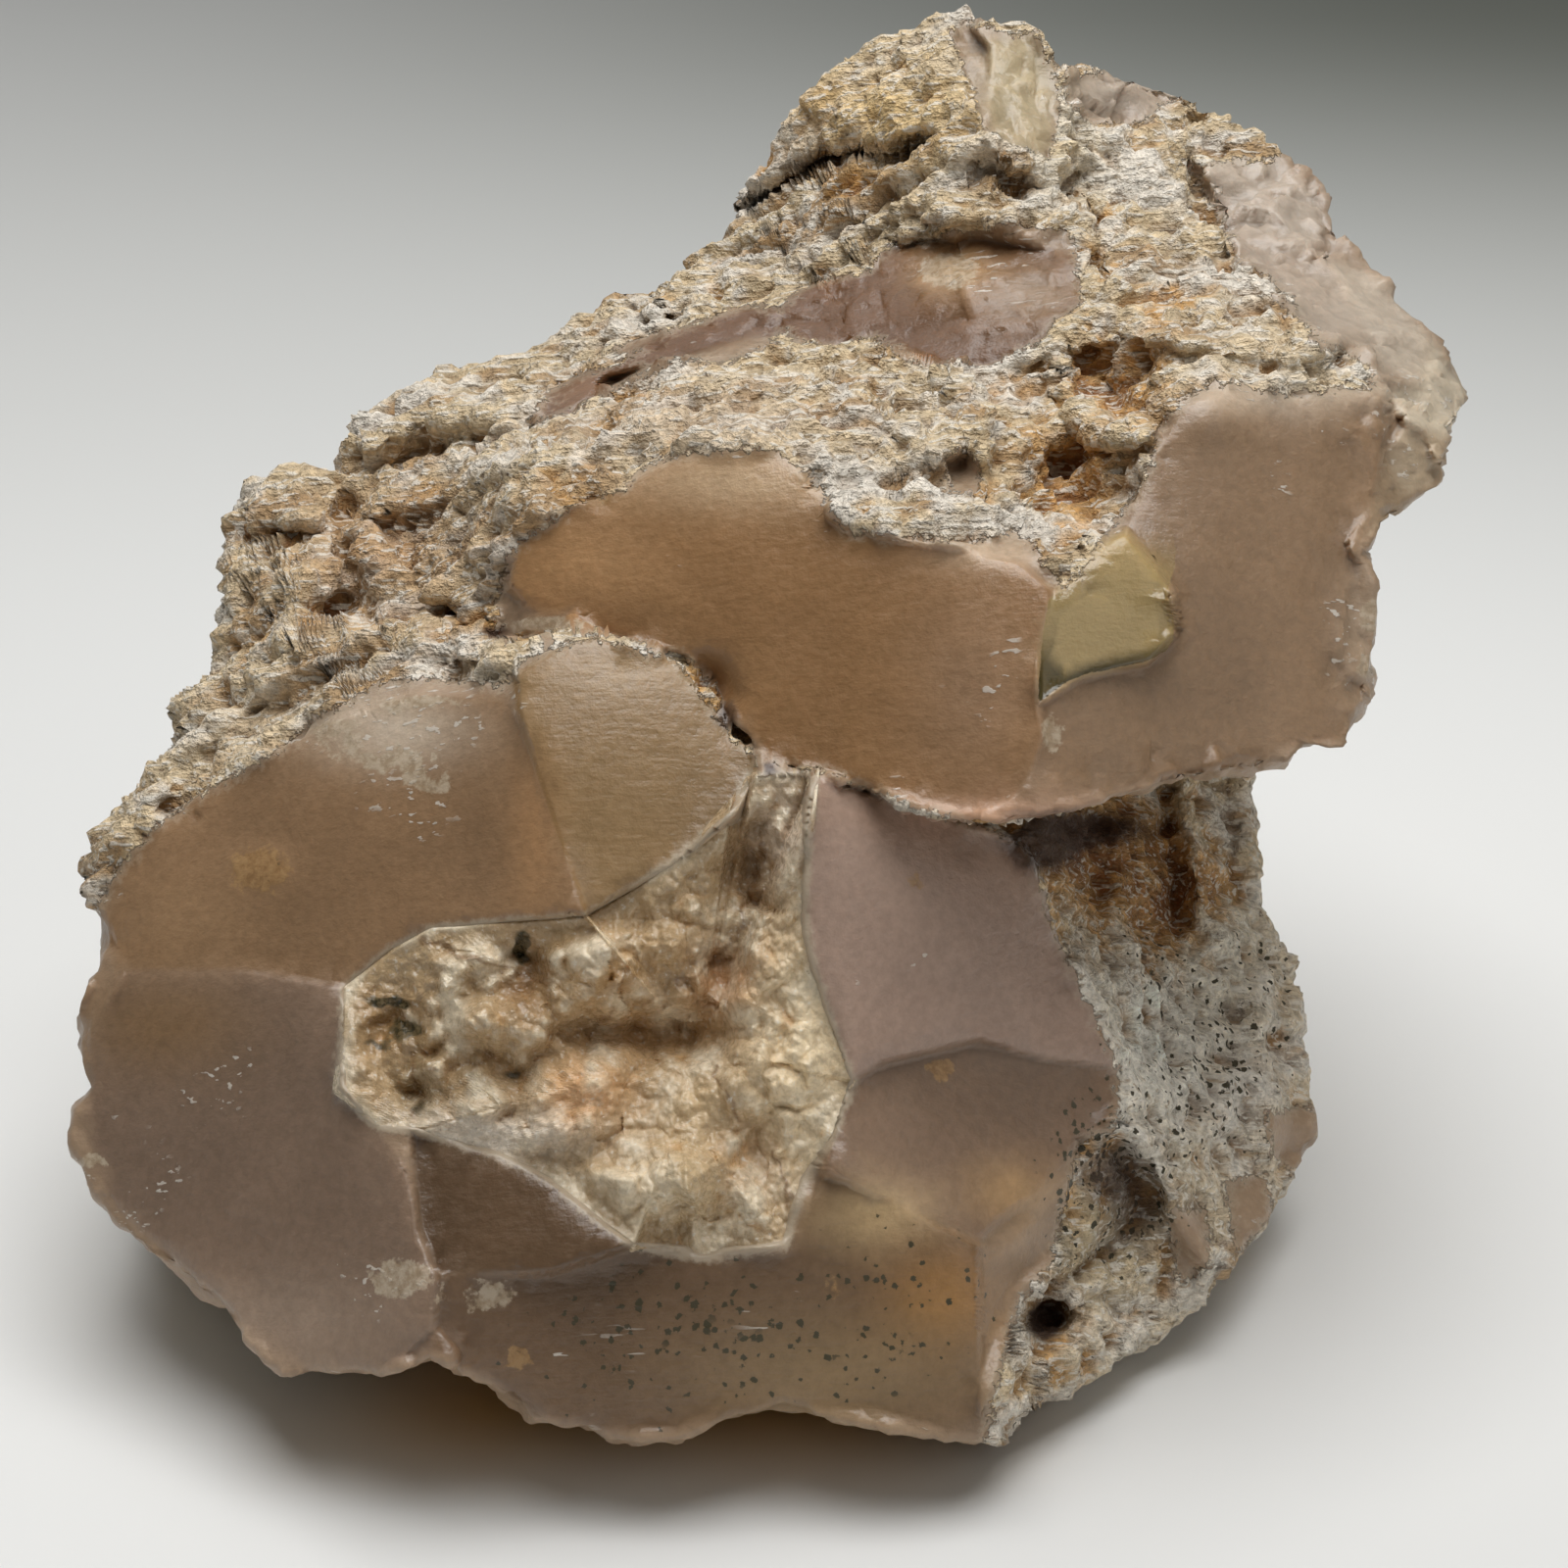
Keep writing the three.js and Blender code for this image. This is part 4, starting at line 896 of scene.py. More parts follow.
# %% Face tints and washes
TINTS = {
    "brown shoulder": (140, 110, 80), "lilac scoop": (128, 106, 88), "wedge": (139, 112, 77),
    "right lilac": (157, 132, 116), "right tan": (127, 103, 83), "dark triangle": (96, 74, 53),
    "foot": (109, 85, 63), "slab": (144, 108, 71), "cheek": (138, 111, 84), "glassy nose": (184, 168, 148),
    "nose point": (188, 174, 152), "nose flake": (176, 156, 130), "under the nose": (150, 128, 102),
    "top right": (184, 168, 150), "top right low": (172, 154, 136), "crown glass": (166, 148, 118),
    "green window": (172, 146, 98), "smoky band": (104, 70, 40),
}
OPEN_GROUND = (152, 128, 104)
WASHES = [  # x, y, half width, half height, colour, amount
    (165, 1045, 90, 50, (132, 102, 68), 0.8),  # the brown corner of the scoop
    (290, 1350, 120, 50, (176, 154, 134), 0.5),
    (400, 745, 80, 34, (204, 188, 168), 0.8),  # the bruised top of the shoulder
    (545, 850, 26, 90, (176, 132, 88), 0.5),
    (190, 930, 80, 50, (158, 126, 92), 0.5),
    (640, 690, 80, 26, (172, 146, 114), 0.6),
    (890, 1240, 60, 34, (206, 176, 130), 0.7),
    (960, 1325, 60, 44, (156, 114, 64), 0.9),
    (1030, 1215, 40, 30, (186, 148, 98), 0.6),
    (850, 1400, 160, 60, (160, 134, 96), 0.6),
    (610, 575, 70, 50, (196, 152, 106), 0.5),
    (760, 490, 130, 30, (190, 162, 128), 0.8),
    (1010, 560, 60, 20, (212, 188, 160), 0.6),
    (1000, 700, 70, 110, (166, 136, 110), 0.5),
    (1030, 830, 120, 16, (208, 168, 142), 0.6),
    (1300, 400, 120, 24, (212, 194, 172), 0.6),
    (1080, 775, 20, 50, (142, 110, 78), 0.5),
    (1390, 650, 24, 80, (196, 174, 150), 0.5),
    (970, 275, 40, 26, (206, 166, 118), 0.7),
    (1050, 300, 60, 34, (156, 132, 106), 0.7),
    (590, 400, 60, 24, (120, 86, 56), 0.6),
    (1290, 220, 110, 70, (168, 154, 140), 0.6),
    (1400, 330, 60, 50, (190, 176, 160), 0.6),
    (1135, 95, 60, 30, (178, 166, 152), 0.8),
    (1040, 85, 44, 50, (180, 164, 132), 0.8),
]
CLOUDS = (14, 5, 2)  # millimetres: the sizes of the clouds in the silica


def over(tone, share, wash):
    """A colour laid over the colours so far, by a share for each point."""
    return tone + share[:, None] * (wash - tone)


def washed_with(tone, washes, x, y, amount=1):
    """Each wash of a table laid over the colours so far, as a soft oval."""
    for cx, cy, rx, ry, wash, strength in washes:
        tone = over(tone, amount * strength * bell(x, y, cx, cy, rx, ry), colour(*wash))
    return tone


def face_tint(x, y, points, upper, front):
    """The colour of the broken stone at each point: its face's tint, then the washes, then slow clouds."""
    tint = np.tile(colour(*OPEN_GROUND), (len(x), 1))
    for limb, here in ((LOWER, ~upper), (UPPER, upper)):
        for key, (outline, _) in limb["faces"].items():
            share = smooth(inside(outline, x, y), -6, 6) * here * front
            tint = over(tint, share, colour(*TINTS[key]))
    tint = washed_with(tint, WASHES, x, y, front)
    clouds = sum(lumpy(points, size, size) for size in CLOUDS) / len(CLOUDS)
    return tint * (1 + 0.16 * clouds + 0.4 * np.clip(crest, -0.2, 0.3))[:, None]


tint = face_tint(x, y, points, upper, front)
print("mean tint, in light:", tint.mean(axis=0).round(3))

# %% [markdown]
# ## Small marks
# Rusty water left stains on the rind, moss left black specks, and the break lost small chips down to cream
# or ochre skin. Some stain ovals are painted shadow, rust-brown under the overhanging slab, and the dark
# ovals are painted shade, near-black in the holes, the cracks and under the slab. Each kind is a table of
# ovals in the picture. Chips have an edge, so they are kept as a depth inside the oval, and the others fade
# out, so they are kept as bells.

# %% Stains with painted shadow, chips, painted shade in holes, and specks
OCHRE_CHIPS = [  # x, y, half width, half height
    (265, 888, 34, 26), (960, 1090, 17, 13), (1037, 1040, 6, 10), (846, 1307, 13, 20), (930, 900, 9, 18),
    (530, 1385, 20, 14), (606, 508, 28, 12), (516, 1262, 10, 7), (742, 1300, 9, 6), (1120, 1060, 8, 12),
]
CREAM_CHIPS = [
    (408, 1305, 38, 22), (487, 1322, 48, 17), (350, 745, 40, 12), (400, 775, 60, 12), (440, 800, 36, 8),
    (560, 640, 46, 12), (968, 276, 32, 20), (1075, 748, 14, 24), (100, 1185, 26, 9), (905, 1030, 16, 8),
    (1398, 630, 12, 20), (1395, 680, 12, 14), (430, 718, 50, 9),
]
# Rust stains and painted shadow: the ovals under the slab's overhang, in the crack by the wedge and along
# the slab's lower edge lay rust-brown where shade falls.
STAINS_AND_SHADE = [  # x, y, half width, half height, amount
    (1130, 395, 56, 44, 1.0), (1085, 490, 60, 56, 1.0), (1190, 315, 56, 26, 0.7), (1125, 255, 24, 34, 0.6),
    (1110, 860, 90, 70, 1.5), (1180, 940, 44, 56, 1.0), (1235, 905, 26, 30, 0.9), (715, 705, 34, 36, 1.2),
    (480, 640, 60, 26, 0.6), (300, 640, 70, 60, 0.3), (270, 560, 50, 40, 0.3), (360, 640, 40, 20, 0.4),
    (600, 405, 50, 20, 0.6), (820, 160, 70, 30, 0.6), (860, 190, 70, 20, 0.5), (1060, 1250, 60, 40, 0.5),
    (560, 480, 60, 22, 0.4), (690, 300, 60, 30, 0.25), (150, 820, 60, 30, 0.3), (210, 1330, 90, 40, 0.3),
    (1120, 1190, 40, 60, 0.5), (960, 1440, 90, 40, 0.4), (1090, 1380, 60, 50, 0.4), (980, 830, 50, 10, 0.8),
]
# Painted shade: near-black in the holes, the cracks between the limbs and under the slab's overhang.
PAINTED_SHADE_SPOTS = [
    (1066, 1348, 22, 24, 1.3), (1130, 1195, 50, 50, 0.75), (1165, 1255, 36, 50, 0.5),
    (1060, 870, 44, 30, 1.0), (1120, 845, 90, 24, 1.0), (505, 645, 22, 9, 1.0), (742, 730, 16, 20, 1.0),
    (785, 784, 12, 8, 1.2), (1250, 1110, 46, 50, 0.35), (830, 170, 60, 9, 0.8), (470, 620, 30, 7, 0.7),
    (1150, 905, 20, 26, 0.5), (1215, 1010, 30, 30, 0.2),
]
SPECKS = [
    (800, 1380, 210, 70, 0.8), (620, 1350, 120, 80, 0.4), (930, 1300, 90, 60, 0.6),
    (1240, 1110, 70, 70, 1.3), (1140, 1230, 70, 80, 1.2), (1180, 990, 60, 60, 0.8),
    (1290, 1000, 50, 60, 0.9), (730, 1330, 120, 40, 0.6), (265, 888, 34, 26, 0.5),
    (1110, 1160, 40, 60, 1.0),
]
BRUISES = [  # where slivers crowd: x, y, half width, half height, how many
    (410, 750, 90, 50, 1), (1030, 690, 50, 90, 0.8), (1300, 500, 60, 60, 0.7), (150, 1200, 90, 60, 0.6),
    (370, 1310, 60, 40, 1), (240, 1120, 60, 60, 0.5), (620, 1380, 90, 60, 0.5), (930, 960, 60, 90, 0.4),
    (1010, 270, 60, 40, 0.8), (1180, 730, 80, 40, 0.5), (760, 560, 90, 60, 0.4), (1440, 430, 50, 70, 0.8),
    (430, 830, 60, 50, 0.7), (800, 1340, 90, 60, 0.5), (1380, 660, 30, 80, 0.9),
]


def spots(table, x, y):
    """How deep each point is inside the nearest oval: 1 at its middle, 0 on its edge, less outside."""
    return np.max([1 - np.hypot((x - cx) / rx, (y - cy) / ry) for cx, cy, rx, ry in table], axis=0)


# Rust stains and the painted shadow under the overhanging slab.
stain_and_shade = stand(STAINS_AND_SHADE, x, y) * front + 0.35 * (1 - front)
# Painted shade in holes, cracks and under the slab, from the table above.
dark = stand(PAINTED_SHADE_SPOTS, x, y) * front
speck = stand(SPECKS, x, y) * front + 0.5 * (1 - front)
bruised = np.clip(stand(BRUISES, x, y), 0, 1) * front + 0.35 * (1 - front)
chipped = 0.6 * bruised + 0.25 * smooth(broken, 50, 0) + 0.4 * lumpy(points, 3.2, 20)
print("chips:", len(OCHRE_CHIPS) + len(CREAM_CHIPS), "stains:", len(STAINS_AND_SHADE), "dark places:", len(PAINTED_SHADE_SPOTS))

# %% [markdown]
# ## The rind's colour
# The rind is silica clotted round rotten bark: cream, with chalky and tan streaks along the grain. Old dirt
# lies in its hollows, its crests are rubbed clean, and iron has rusted in the deep pits and on the stains,
# which also carry the painted shadow under the overhanging slab in rust-brown. So it is mixed like a glaze,
# one thin coat after another, and the crests and hollows found above say where each coat holds.

# %% The rind's colour
CREAM, CHALK, TAN = colour(212, 190, 154), colour(228, 218, 203), colour(178, 146, 106)
RUST, OCHRE, EARTH = colour(140, 84, 36), colour(206, 156, 88), colour(104, 72, 42)
RIND_WASHES = [  # x, y, half width, half height, colour, amount
    (900, 110, 110, 50, (224, 190, 130), 0.8),
    (1090, 150, 40, 60, (232, 216, 182), 0.5),
    (960, 90, 50, 50, (216, 190, 146), 0.5),
    (700, 430, 140, 40, (214, 192, 168), 0.6),
    (250, 740, 60, 70, (232, 210, 176), 0.6),
    (390, 560, 100, 70, (182, 142, 98), 0.8),
    (1180, 1060, 80, 130, (250, 244, 230), 1.0),
    (1150, 1240, 60, 60, (150, 136, 106), 0.6),
    (1280, 1120, 50, 120, (222, 214, 202), 0.6),
    (1150, 1370, 90, 50, (228, 216, 196), 0.6),
    (1300, 380, 90, 40, (232, 214, 186), 0.5),
    (1250, 980, 60, 80, (236, 226, 206), 0.8),
]


def rind_tint():
    """Cream, chalk and tan patches drawn out along the grain, earth in hollows, rust on stains and painted
    shadow.
    """
    along = GRAIN_ALONG / np.linalg.norm(GRAIN_ALONG)
    drawn = points - np.outer(points @ along, along) * 0.7
    tone = np.tile(CREAM, (len(points), 1))
    for wash, size, low, high in ((CHALK, 4.0, 0.0, 0.5), (TAN, 3.0, 0.1, 0.6), (CHALK, 1.5, 0.2, 0.7)):
        tone = over(tone, smooth(lumpy(drawn, size, 3 * size), low, high), wash)
    tone = washed_with(tone, RIND_WASHES, x, y, front)
    rusty = stain_and_shade + 0.5 * lumpy(points, 2.5, 60) - 0.5 * crest
    for wash, low, high in ((OCHRE, 0.2, 0.8), (RUST, 0.8, 1.5)):
        tone = over(tone, 0.9 * smooth(rusty, low, high), wash)
    dirty = smooth(-crest, 0.12, 0.85) * (0.6 - 0.45 * smooth(stain_and_shade, 0.3, 0.9))
    tone = over(tone, dirty, EARTH)
    return tone * (1 + 0.25 * np.clip(crest, 0, 0.6))[:, None]


def paint(mesh, **layers):
    """Puts each named array on the points of the mesh: one number for each point, or a colour."""
    for name, values in layers.items():
        is_colour = values.ndim == 2
        layer = mesh.attributes.new(name, "FLOAT_COLOR" if is_colour else "FLOAT", "POINT")
        if is_colour:
            values = np.column_stack([np.clip(values, 0, 1), np.ones(len(values))])
        layer.data.foreach_set("color" if is_colour else "value", values.astype(np.float32).ravel())


def zone(outline, limb):
    """Depth inside an outline, for the points of one limb that are on its front."""
    return np.where((front > 0.5) & limb, inside(outline, x, y), OUTSIDE) / LAYER_UNIT


def chips(table):
    """Depth inside the ovals of a table, for points on the front."""
    return np.where(front > 0.5, np.clip(spots(table, x, y), -1, 1), -1)


paint(
    stone.data,
    tint=tint,
    rind=rind_tint(),
    bark=bark / LAYER_UNIT,
    window=zone(GREEN_WINDOW, upper),
    fade=smooth(y, 530, 620),
    rise=smooth(y, 690, 640),
    wedge=zone(LOWER["faces"]["wedge"][0], ~upper),
    pocket=zone(QUARTZ["outline"], ~upper),
    ochre=chips(OCHRE_CHIPS),
    cream=chips(CREAM_CHIPS),
    dark=dark,
    speck=speck,
    chipped=chipped,
)
print("layers on the stone:", [a.name for a in stone.data.attributes if a.name.islower()])

# %% [markdown]
# ## Colours on the quartz
# The quartz is milky on its crests, stained tan between, brown in the vugs and rusty along its cracks, with
# near-black painted shade in the vugs and a few nearly black crystals. The sight lines are bent a little by
# noise first, so that no stain is a clean oval.

# %% Colours on the quartz
QUARTZ_TAN, MILK = colour(182, 156, 120), colour(226, 212, 186)
QUARTZ_RUST, GRIME = colour(190, 146, 92), colour(120, 86, 50)
QUARTZ_WASHES = [
    (455, 1070, 60, 80, (172, 142, 104), 0.5), (400, 1045, 44, 36, (150, 118, 78), 0.9),
    (670, 1056, 80, 26, (196, 158, 112), 0.7), (600, 1112, 44, 32, (222, 172, 122), 0.8),
    (740, 1000, 36, 40, (176, 124, 76), 0.85), (765, 1190, 34, 40, (160, 112, 66), 0.7),
    (690, 1205, 70, 36, (206, 184, 146), 0.5), (765, 890, 20, 60, (140, 106, 70), 0.7),
    (610, 990, 60, 40, (186, 146, 94), 0.6), (535, 1000, 24, 44, (136, 96, 54), 0.7),
    (820, 1080, 60, 130, (244, 224, 188), 0.8), (800, 850, 30, 60, (206, 190, 174), 0.6),
    (425, 1115, 22, 40, (130, 112, 80), 0.6), (500, 1158, 90, 26, (232, 222, 208), 0.8),
    (705, 1128, 34, 34, (206, 180, 140), 0.7), (640, 1010, 40, 20, (160, 122, 76), 0.5),
]
# Near-black marks: mostly painted shade in the vugs, and a few dark crystals.
QUARTZ_SHADE_AND_DARK_CRYSTALS = [
    (395, 1022, 30, 9, 1.2), (416, 1050, 22, 12, 1.1), (532, 966, 10, 20, 1.2), (524, 1096, 11, 13, 0.8),
    (600, 1050, 14, 6, 0.4), (728, 1000, 9, 16, 0.6), (768, 880, 6, 34, 0.5), (660, 1250, 26, 14, 0.4),
    (385, 1065, 20, 7, 0.8), (755, 1170, 14, 10, 0.4), (428, 1130, 9, 16, 0.8),
]
CRACKS = [
    [(730, 1090), (738, 1115), (757, 1145)], [(790, 1175), (805, 1215), (812, 1265)],
    [(628, 1030), (600, 1056), (560, 1060)], [(430, 960), (520, 990), (560, 1000)],
    [(778, 850), (770, 905), (752, 950)], [(420, 1075), (428, 1110), (425, 1150)],
    [(690, 1005), (725, 985), (745, 960)], [(500, 1075), (470, 1090), (440, 1092)],
]
q_points = points_of(quartz.data)
q_x, q_y, _ = sight(q_points)
q_x, q_y = q_x + 6 * noise(q_x / 9, q_y / 9), q_y + 6 * noise(q_x / 9 + 50, q_y / 9)
q_crest = crests(quartz.data, 40)
milky = lumpy(q_points, 3.2, 5) + 0.3 * lumpy(q_points, 1.1) + 0.9 * q_crest
rusty = lumpy(q_points, 2.2, 33) + 0.4 * lumpy(q_points, 0.8) - 0.6 * q_crest
to_crack = np.min([gap(line, q_x, q_y) for line in CRACKS], axis=0)
grimy = np.maximum(0.5 * smooth(-q_crest, 0.5, 1.4), 0.7 * smooth(to_crack, 4, 0))
q_tint = washed_with(np.tile(QUARTZ_TAN, (len(q_x), 1)), QUARTZ_WASHES, q_x, q_y)
q_tint = over(q_tint, 0.8 * smooth(milky, -0.1, 0.9), MILK)
q_tint = over(q_tint, 0.6 * smooth(rusty, 0.7, 1.3), QUARTZ_RUST)
q_tint = over(q_tint, grimy, GRIME)
paint(quartz.data, tint=q_tint, dark=stand(QUARTZ_SHADE_AND_DARK_CRYSTALS, q_x, q_y))
print("layers on the quartz:", [a.name for a in quartz.data.attributes if a.name.islower()])

# %% [markdown]
# ## A small kit for finishes
# A finish is a graph of nodes. Written out, each node would take five lines, so a short class adds one node
# for each call and joins it up. Everything is measured in millimetres on the stone itself, from Object
# coordinates, so the pattern stays put from every side and no picture is wrapped round the stone. Each
# texture is worked out once and used for several things, because this is what the renderer spends its time
# on.

# %% Nodes by the line
class Finish:
    """A material that grows by one node for each call. What a call gives can be fed into the next."""

    def __init__(self, name):
        self.material = bpy.data.materials.new(name)
        self.material.use_nodes = True
        self.tree = self.material.node_tree
        self.shader = self.tree.nodes["Principled BSDF"]
        metres = self.node("ShaderNodeTexCoord", out="Object")
        self.mm = self.node("ShaderNodeMapping", metres, Scale=(1000, 1000, 1000))

    def node(self, kind, *fed, out=0, fixed=(), **named):
        """A node of a kind with fixed settings, its inputs fed in order or by name. Gives an output."""
        node = self.tree.nodes.new(kind)
        for key, value in dict(fixed).items():
            setattr(node, key, value)
        for key, value in [*enumerate(fed), *named.items()]:
            self.feed(node.inputs[key], value)
        return node.outputs[out]

    def feed(self, socket, value):
        """Joins a node's output to a socket, or sets the socket to a number or a colour."""
        if isinstance(value, bpy.types.NodeSocket):
            self.tree.links.new(value, socket)
        elif value is not None:
            socket.default_value = (*value, 1) if socket.type == "RGBA" else value

    def math(self, operation, *values):
        return self.node("ShaderNodeMath", *values, fixed={"operation": operation})

    def layer(self, name, out="Fac"):
        return self.node("ShaderNodeAttribute", out=out, fixed={"attribute_name": name})

    def step(self, value, start, end, low=0.0, high=1.0):
        """A smooth step from low at start to high at end."""
        kind = {"interpolation_type": "SMOOTHSTEP"}
        return self.node("ShaderNodeMapRange", value, start, end, low, high, fixed=kind)

    def mix(self, share, first, second, blend="MIX"):
        """Two colours mixed by a share, or one laid over the other."""
        node = self.tree.nodes.new("ShaderNodeMix")
        node.data_type, node.blend_type = "RGBA", blend
        for socket, value in ((node.inputs[0], share), (node.inputs[6], first), (node.inputs[7], second)):
            self.feed(socket, value)
        return node.outputs[2]

    def blend(self, share, first, second):
        """Two numbers mixed by a share."""
        return self.node("ShaderNodeMix", share, None, first, second)

    def cloud(self, size, detail=2.0, rough=0.5, where=None):
        """Noise with lumps of about size millimetres, 0 to 1."""
        where = self.mm if where is None else where
        return self.node("ShaderNodeTexNoise", where, Scale=1 / size, Detail=detail, Roughness=rough)

    def cells(self, size):
        """Cells of about size millimetres: the distance to the nearest centre, and a number for each."""
        texture = self.node("ShaderNodeTexVoronoi", self.mm, Scale=1 / size).node
        return texture.outputs["Distance"], self.node("ShaderNodeSeparateColor", texture.outputs["Color"])

    def bump(self, height, depth):
        """Height 0 to 1 stands for depth millimetres."""
        return self.node("ShaderNodeBump", Height=height, Distance=depth * 0.001)


print("the kit makes", Finish.__name__, "objects")

# %% [markdown]
# ## Chalcedony and rind
# Both are one mineral on one piece, so they are one material, and the rind layer says which is which.
# Chalcedony is waxy and lets light in a little way, so it gets subsurface scattering, a soft gloss, fine
# ripples where the crack ran, and short pale slivers where small flakes lifted. The rind is opaque grains
# of cream and grey with black specks, and its roughness comes from bump on top of the real relief.

# %% The stone's finish: the three textures and the edges of the zones
f = Finish("chalcedony_and_rind")
fine = f.cloud(0.85, 3, 0.65)
streaky = f.node("ShaderNodeMapping", f.mm, Rotation=(0.25, 0.55, 0.35), Scale=(0.32, 2.3, 2.3))
streaks = f.cloud(1.4, 2, 0.55, streaky)
grain, chance = f.cells(0.8)
ragged = f.math("SUBTRACT", fine, 0.5)

bark_line = f.math("MULTIPLY_ADD", ragged, 3.4, f.layer("bark"))
is_bark = f.step(bark_line, -0.15, 0.15)
window_line = f.math("MULTIPLY_ADD", ragged, 0.5, f.layer("window"))
seam_line = f.math("ABSOLUTE", f.math("MULTIPLY_ADD", ragged, 0.3, f.layer("wedge")))
pocket_line = f.math("MULTIPLY_ADD", ragged, 1.5, f.layer("pocket"))
slivers = f.math("MULTIPLY", f.step(streaks, 0.625, 0.65), f.step(f.layer("chipped"), 0.32, 0.46))
print("zones cut at", len([n for n in f.tree.nodes if n.type == "ATTRIBUTE"]), "layers")

# %% [markdown]
# ### Colour of the break and the rind
# The tint on the points is the ground. Over it come the window, the seam, the pale skin where silica grew
# against the rind and the pocket, the slivers and the chips. Each has its own line in a layer, made ragged
# by the same noise.

# %% Chalcedony's colour
waxy = f.mix(1.0, f.layer("tint", "Color"), f.step(fine, 0.25, 0.75, 0.90, 1.10), "MULTIPLY")
in_window = f.math("MULTIPLY", f.step(window_line, 0, 0.15), f.layer("fade"))
clear = f.math("MAXIMUM", f.step(window_line, 0.1, 1.8), f.math("MULTIPLY", f.layer("rise"), 0.85))
waxy = f.mix(in_window, waxy, f.mix(clear, (0.06, 0.045, 0.014), (0.40, 0.29, 0.13)))
waxy = f.mix(f.step(seam_line, 0.35, 0.1, 0, 0.7), waxy, (0.28, 0.16, 0.06))
skin = f.math("MAXIMUM", f.step(pocket_line, -0.9, -0.1, 0, 0.8), f.step(bark_line, -1.1, -0.1, 0, 0.4))
waxy = f.mix(skin, waxy, (0.45, 0.37, 0.27))
waxy = f.mix(f.math("MULTIPLY", slivers, 0.7), waxy, (0.72, 0.66, 0.58))
on_cream = f.step(f.math("MULTIPLY_ADD", ragged, 0.9, f.layer("cream")), 0.0, 0.2, 0, 0.65)
on_ochre = f.step(f.math("MULTIPLY_ADD", ragged, 1.2, f.layer("ochre")), 0.0, 0.25, 0, 0.7)
waxy = f.mix(on_cream, waxy, f.mix(f.step(fine, 0.35, 0.65), (0.36, 0.27, 0.17), (0.56, 0.47, 0.35)))
waxy = f.mix(on_ochre, waxy, f.mix(f.step(fine, 0.35, 0.65), (0.26, 0.14, 0.05), (0.40, 0.24, 0.10)))

# %% The rind's colour, then specks and painted shade in holes over both
light_and_dark = f.math("MULTIPLY_ADD", chance, 0.30, f.step(fine, 0.3, 0.7, 0.70, 1.05))
light_and_dark = f.math("MULTIPLY_ADD", grain, -0.25, light_and_dark)
grainy = f.mix(1.0, f.layer("rind", "Color"), light_and_dark, "MULTIPLY")
grainy = f.mix(f.step(streaks, 0.52, 0.64, 0, 0.75), grainy, (0.84, 0.78, 0.68))
grainy = f.mix(f.step(streaks, 0.42, 0.30, 0, 0.6), grainy, (0.36, 0.24, 0.12))
grainy = f.mix(f.step(fine, 0.36, 0.27, 0, 0.85), grainy, (0.12, 0.075, 0.04))
surface = f.mix(is_bark, waxy, grainy)
is_speck = f.step(f.math("MULTIPLY_ADD", f.layer("speck"), 0.50, chance), 1.04, 1.10)
dot_edge = f.math("MULTIPLY_ADD", f.layer("speck"), -0.24, f.math("MULTIPLY_ADD", ragged, 1.6, grain))
dot = f.step(dot_edge, 0.18, 0.06)
surface = f.mix(f.math("MULTIPLY", dot, is_speck), surface, (0.06, 0.05, 0.025))
# Painted shade: near-black in holes, cracks and under the slab, where the dark layer is high.
painted_shade = f.step(f.math("MULTIPLY_ADD", fine, 0.7, f.layer("dark")), 0.65, 1.3, 0, 0.95)
surface = f.mix(painted_shade, surface, (0.05, 0.02, 0.008))
f.feed(f.shader.inputs["Base Color"], surface)

# %% [markdown]
# ### Gloss, bump and light inside
# Chalcedony shines softly where it is waxy and hard where it is glassy, and the rind doesn't shine.
# Scattering by Burley's rule blurs light over a millimetre and costs much less than following each ray
# through the stone.

# %% Gloss, bump and the light inside
gloss = f.blend(f.math("MAXIMUM", in_window, slivers), f.step(fine, 0.3, 0.7, 0.30, 0.44), 0.18)
f.feed(f.shader.inputs["Roughness"], f.blend(is_bark, gloss, 0.82))
ripples = f.math("MULTIPLY_ADD", streaks, 0.6, fine)
low_relief = f.math("MULTIPLY", f.math("MULTIPLY_ADD", slivers, 0.7, ripples), 0.14)
high_relief = f.math("MULTIPLY_ADD", streaks, 0.9, f.math("MULTIPLY", fine, 1.3))
f.feed(f.shader.inputs["Normal"], f.bump(f.blend(is_bark, low_relief, high_relief), 0.75))
f.feed(f.shader.inputs["Subsurface Weight"], f.blend(is_bark, 0.2, 0.0))
f.shader.inputs["Subsurface Radius"].default_value = (1.0, 0.6, 0.4)
f.shader.inputs["Subsurface Scale"].default_value = 0.0015
f.shader.subsurface_method = "BURLEY"
f.shader.inputs["IOR"].default_value = 1.54
stone.data.materials.clear()
stone.data.materials.append(f.material)
print("the stone's finish has", len(f.tree.nodes), "nodes")

# %% [markdown]
# ## Quartz
# White quartz is full of tiny bubbles and cracks, so it glows inside while its faces stay glassy. It gets
# subsurface scattering, low roughness with a fine sugary bump, pale and dark flecks, a few nearly black
# crystals and painted shade in the vugs.

# %% The quartz's finish
f = Finish("quartz")
fine = f.cloud(0.6, 3, 0.62)
grain, chance = f.cells(0.9)
light_and_dark = f.math("MULTIPLY_ADD", chance, 0.16, f.step(fine, 0.3, 0.7, 0.84, 1.0))
glassy = f.mix(1.0, f.layer("tint", "Color"), light_and_dark, "MULTIPLY")
glassy = f.mix(f.step(fine, 0.60, 0.70, 0, 0.6), glassy, (0.80, 0.76, 0.68))
glassy = f.mix(f.step(fine, 0.31, 0.25, 0, 0.6), glassy, (0.24, 0.16, 0.08))
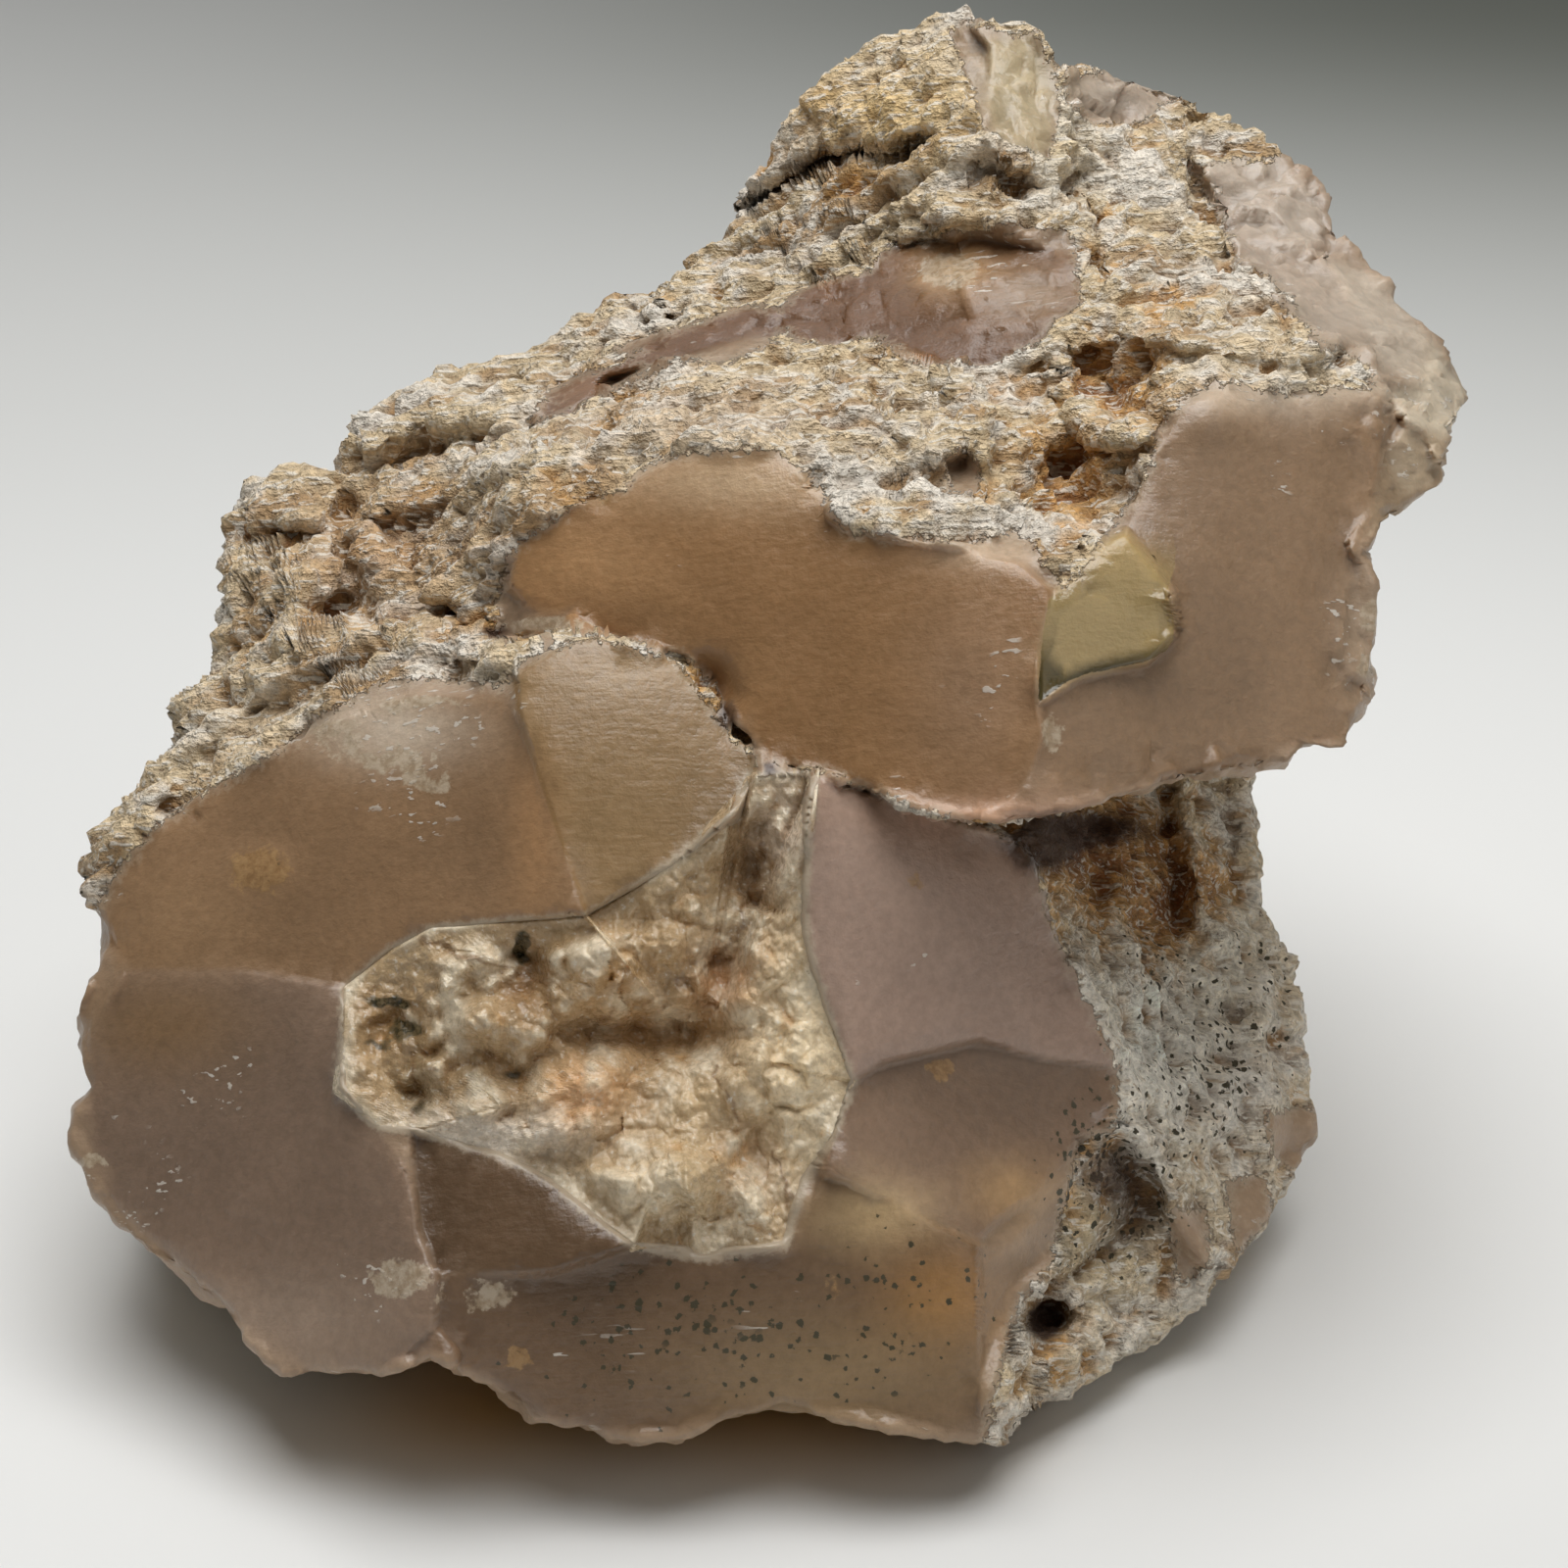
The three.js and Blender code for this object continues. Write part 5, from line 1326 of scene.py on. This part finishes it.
# Near-black: painted shade in the vugs and a few dark crystals, where the dark layer is high.
dark_crystal_and_shade = f.step(f.math("MULTIPLY_ADD", fine, 0.6, f.layer("dark")), 0.75, 1.1, 0, 0.96)
glassy = f.mix(dark_crystal_and_shade, glassy, f.mix(f.step(fine, 0.4, 0.6), (0.025, 0.025, 0.012), (0.12, 0.085, 0.035)))
f.feed(f.shader.inputs["Base Color"], glassy)
f.feed(f.shader.inputs["Roughness"], f.step(fine, 0.3, 0.75, 0.12, 0.5))
f.feed(f.shader.inputs["Normal"], f.bump(f.math("MULTIPLY_ADD", grain, -0.5, fine), 0.16))
f.shader.inputs["Subsurface Weight"].default_value = 0.3
f.shader.inputs["Subsurface Radius"].default_value = (1.0, 0.75, 0.5)
f.shader.inputs["Subsurface Scale"].default_value = 0.0007
f.shader.subsurface_method = "BURLEY"
f.shader.inputs["IOR"].default_value = 1.55
quartz.data.materials.append(f.material)
print("the quartz's finish has", len(f.tree.nodes), "nodes")

# %% [markdown]
# ## Stage and light
# The fossil lies on white paper. Soft light comes from straight above, so its top is bright and its broken
# front is lit by the paper, with a weak warm lamp at the right to fill it and one behind for the far paper.
# Light that has passed through the stone colours its shadow amber. Following it would take very long, so
# the paper has that tone.

# %% The paper and the room
paper = Finish("paper")
depth_of = paper.node("ShaderNodeSeparateXYZ", paper.mm, out="Y")
across = paper.node("ShaderNodeSeparateXYZ", paper.mm, out="X")
# Painted shade: the paper greys towards the back and the right, where the light falls off.
right_back = paper.math("MULTIPLY", paper.step(depth_of, 60, 800), paper.step(across, -450, 300))
shade = paper.math("MULTIPLY_ADD", right_back, 0.85, paper.step(depth_of, 60, 300, 0, 0.1))
in_shadow = 1.0
for place_of, start, end in ((across, -52, -24), (across, 30, 4), (depth_of, -54, -38), (depth_of, 5, -20)):
    in_shadow = paper.math("MULTIPLY", in_shadow, paper.step(place_of, start, end))
white = paper.mix(in_shadow, (0.79, 0.79, 0.775), (0.52, 0.34, 0.15))
paper.feed(paper.shader.inputs["Base Color"], paper.mix(shade, white, (0.22, 0.23, 0.20)))
paper.shader.inputs["Roughness"].default_value = 0.75
paper.shader.inputs["Specular IOR Level"].default_value = 0.2
LEFT, RIGHT, NEAR, FAR_END = -2500, 2500, -1200, 3000
corners = np.array([(LEFT, NEAR, 0), (RIGHT, NEAR, 0), (RIGHT, FAR_END, 0), (LEFT, FAR_END, 0)])
floor = bpy.data.objects.new("floor", mesh_from("floor", corners, [[0, 1, 2, 3]]))
bpy.context.scene.collection.objects.link(floor)
floor.data.materials.append(paper.material)

world = bpy.data.worlds.new("room")
bpy.context.scene.world = world
world.use_nodes = True
world.node_tree.nodes["Background"].inputs["Color"].default_value = (0.98, 1.0, 0.96, 1)
world.node_tree.nodes["Background"].inputs["Strength"].default_value = 0.08


def soft_light(name, spot, aim, size, watts, tone=(1, 1, 1)):
    """A square lamp, turned so that its face looks from spot towards aim."""
    data = bpy.data.lights.new(name, "AREA")
    data.size, data.energy, data.color = size, watts, tone
    lamp = bpy.data.objects.new(name, data)
    bpy.context.scene.collection.objects.link(lamp)
    lamp.location = spot
    lamp.rotation_euler = (Vector(aim) - Vector(spot)).to_track_quat("-Z", "Y").to_euler()
    return lamp


soft_light("top_light", (0.03, 0.02, 0.75), (0, 0, 0.03), 0.6, 5.8)
soft_light("side_fill", (0.60, -0.55, 0.50), (0, 0, 0.05), 0.7, 1.0, (1.0, 0.97, 0.93))
soft_light("back_light", (-0.35, 0.75, 0.75), (-0.35, 0.75, 0), 0.8, 1.8)

# %% [markdown]
# ## Camera
# The eye is where the sight lines start: 250 mm from the middle of the stone, looking down by 25 degrees. A
# lens that spans 150 mm at that distance gives the picture that the outlines were measured in.

# %% The camera
camera_data = bpy.data.cameras.new("camera")
camera_data.lens, camera_data.sensor_width = 60, 36  # 150 mm across at 250 mm
camera_data.clip_start = 0.01
camera = bpy.data.objects.new("camera", camera_data)
bpy.context.scene.collection.objects.link(camera)
target = (MIDDLE - np.array([0, 0, SEAT_CUT])) * 0.001
camera.location = target + EYE_AWAY * 0.001 * np.array([0, -np.cos(EYE_DOWN), np.sin(EYE_DOWN)])
camera.rotation_euler = (np.pi / 2 - EYE_DOWN, 0, 0)
bpy.context.scene.camera = camera
bpy.context.scene.view_settings.view_transform = "Standard"
print("camera at", tuple(round(v, 3) for v in camera.location))
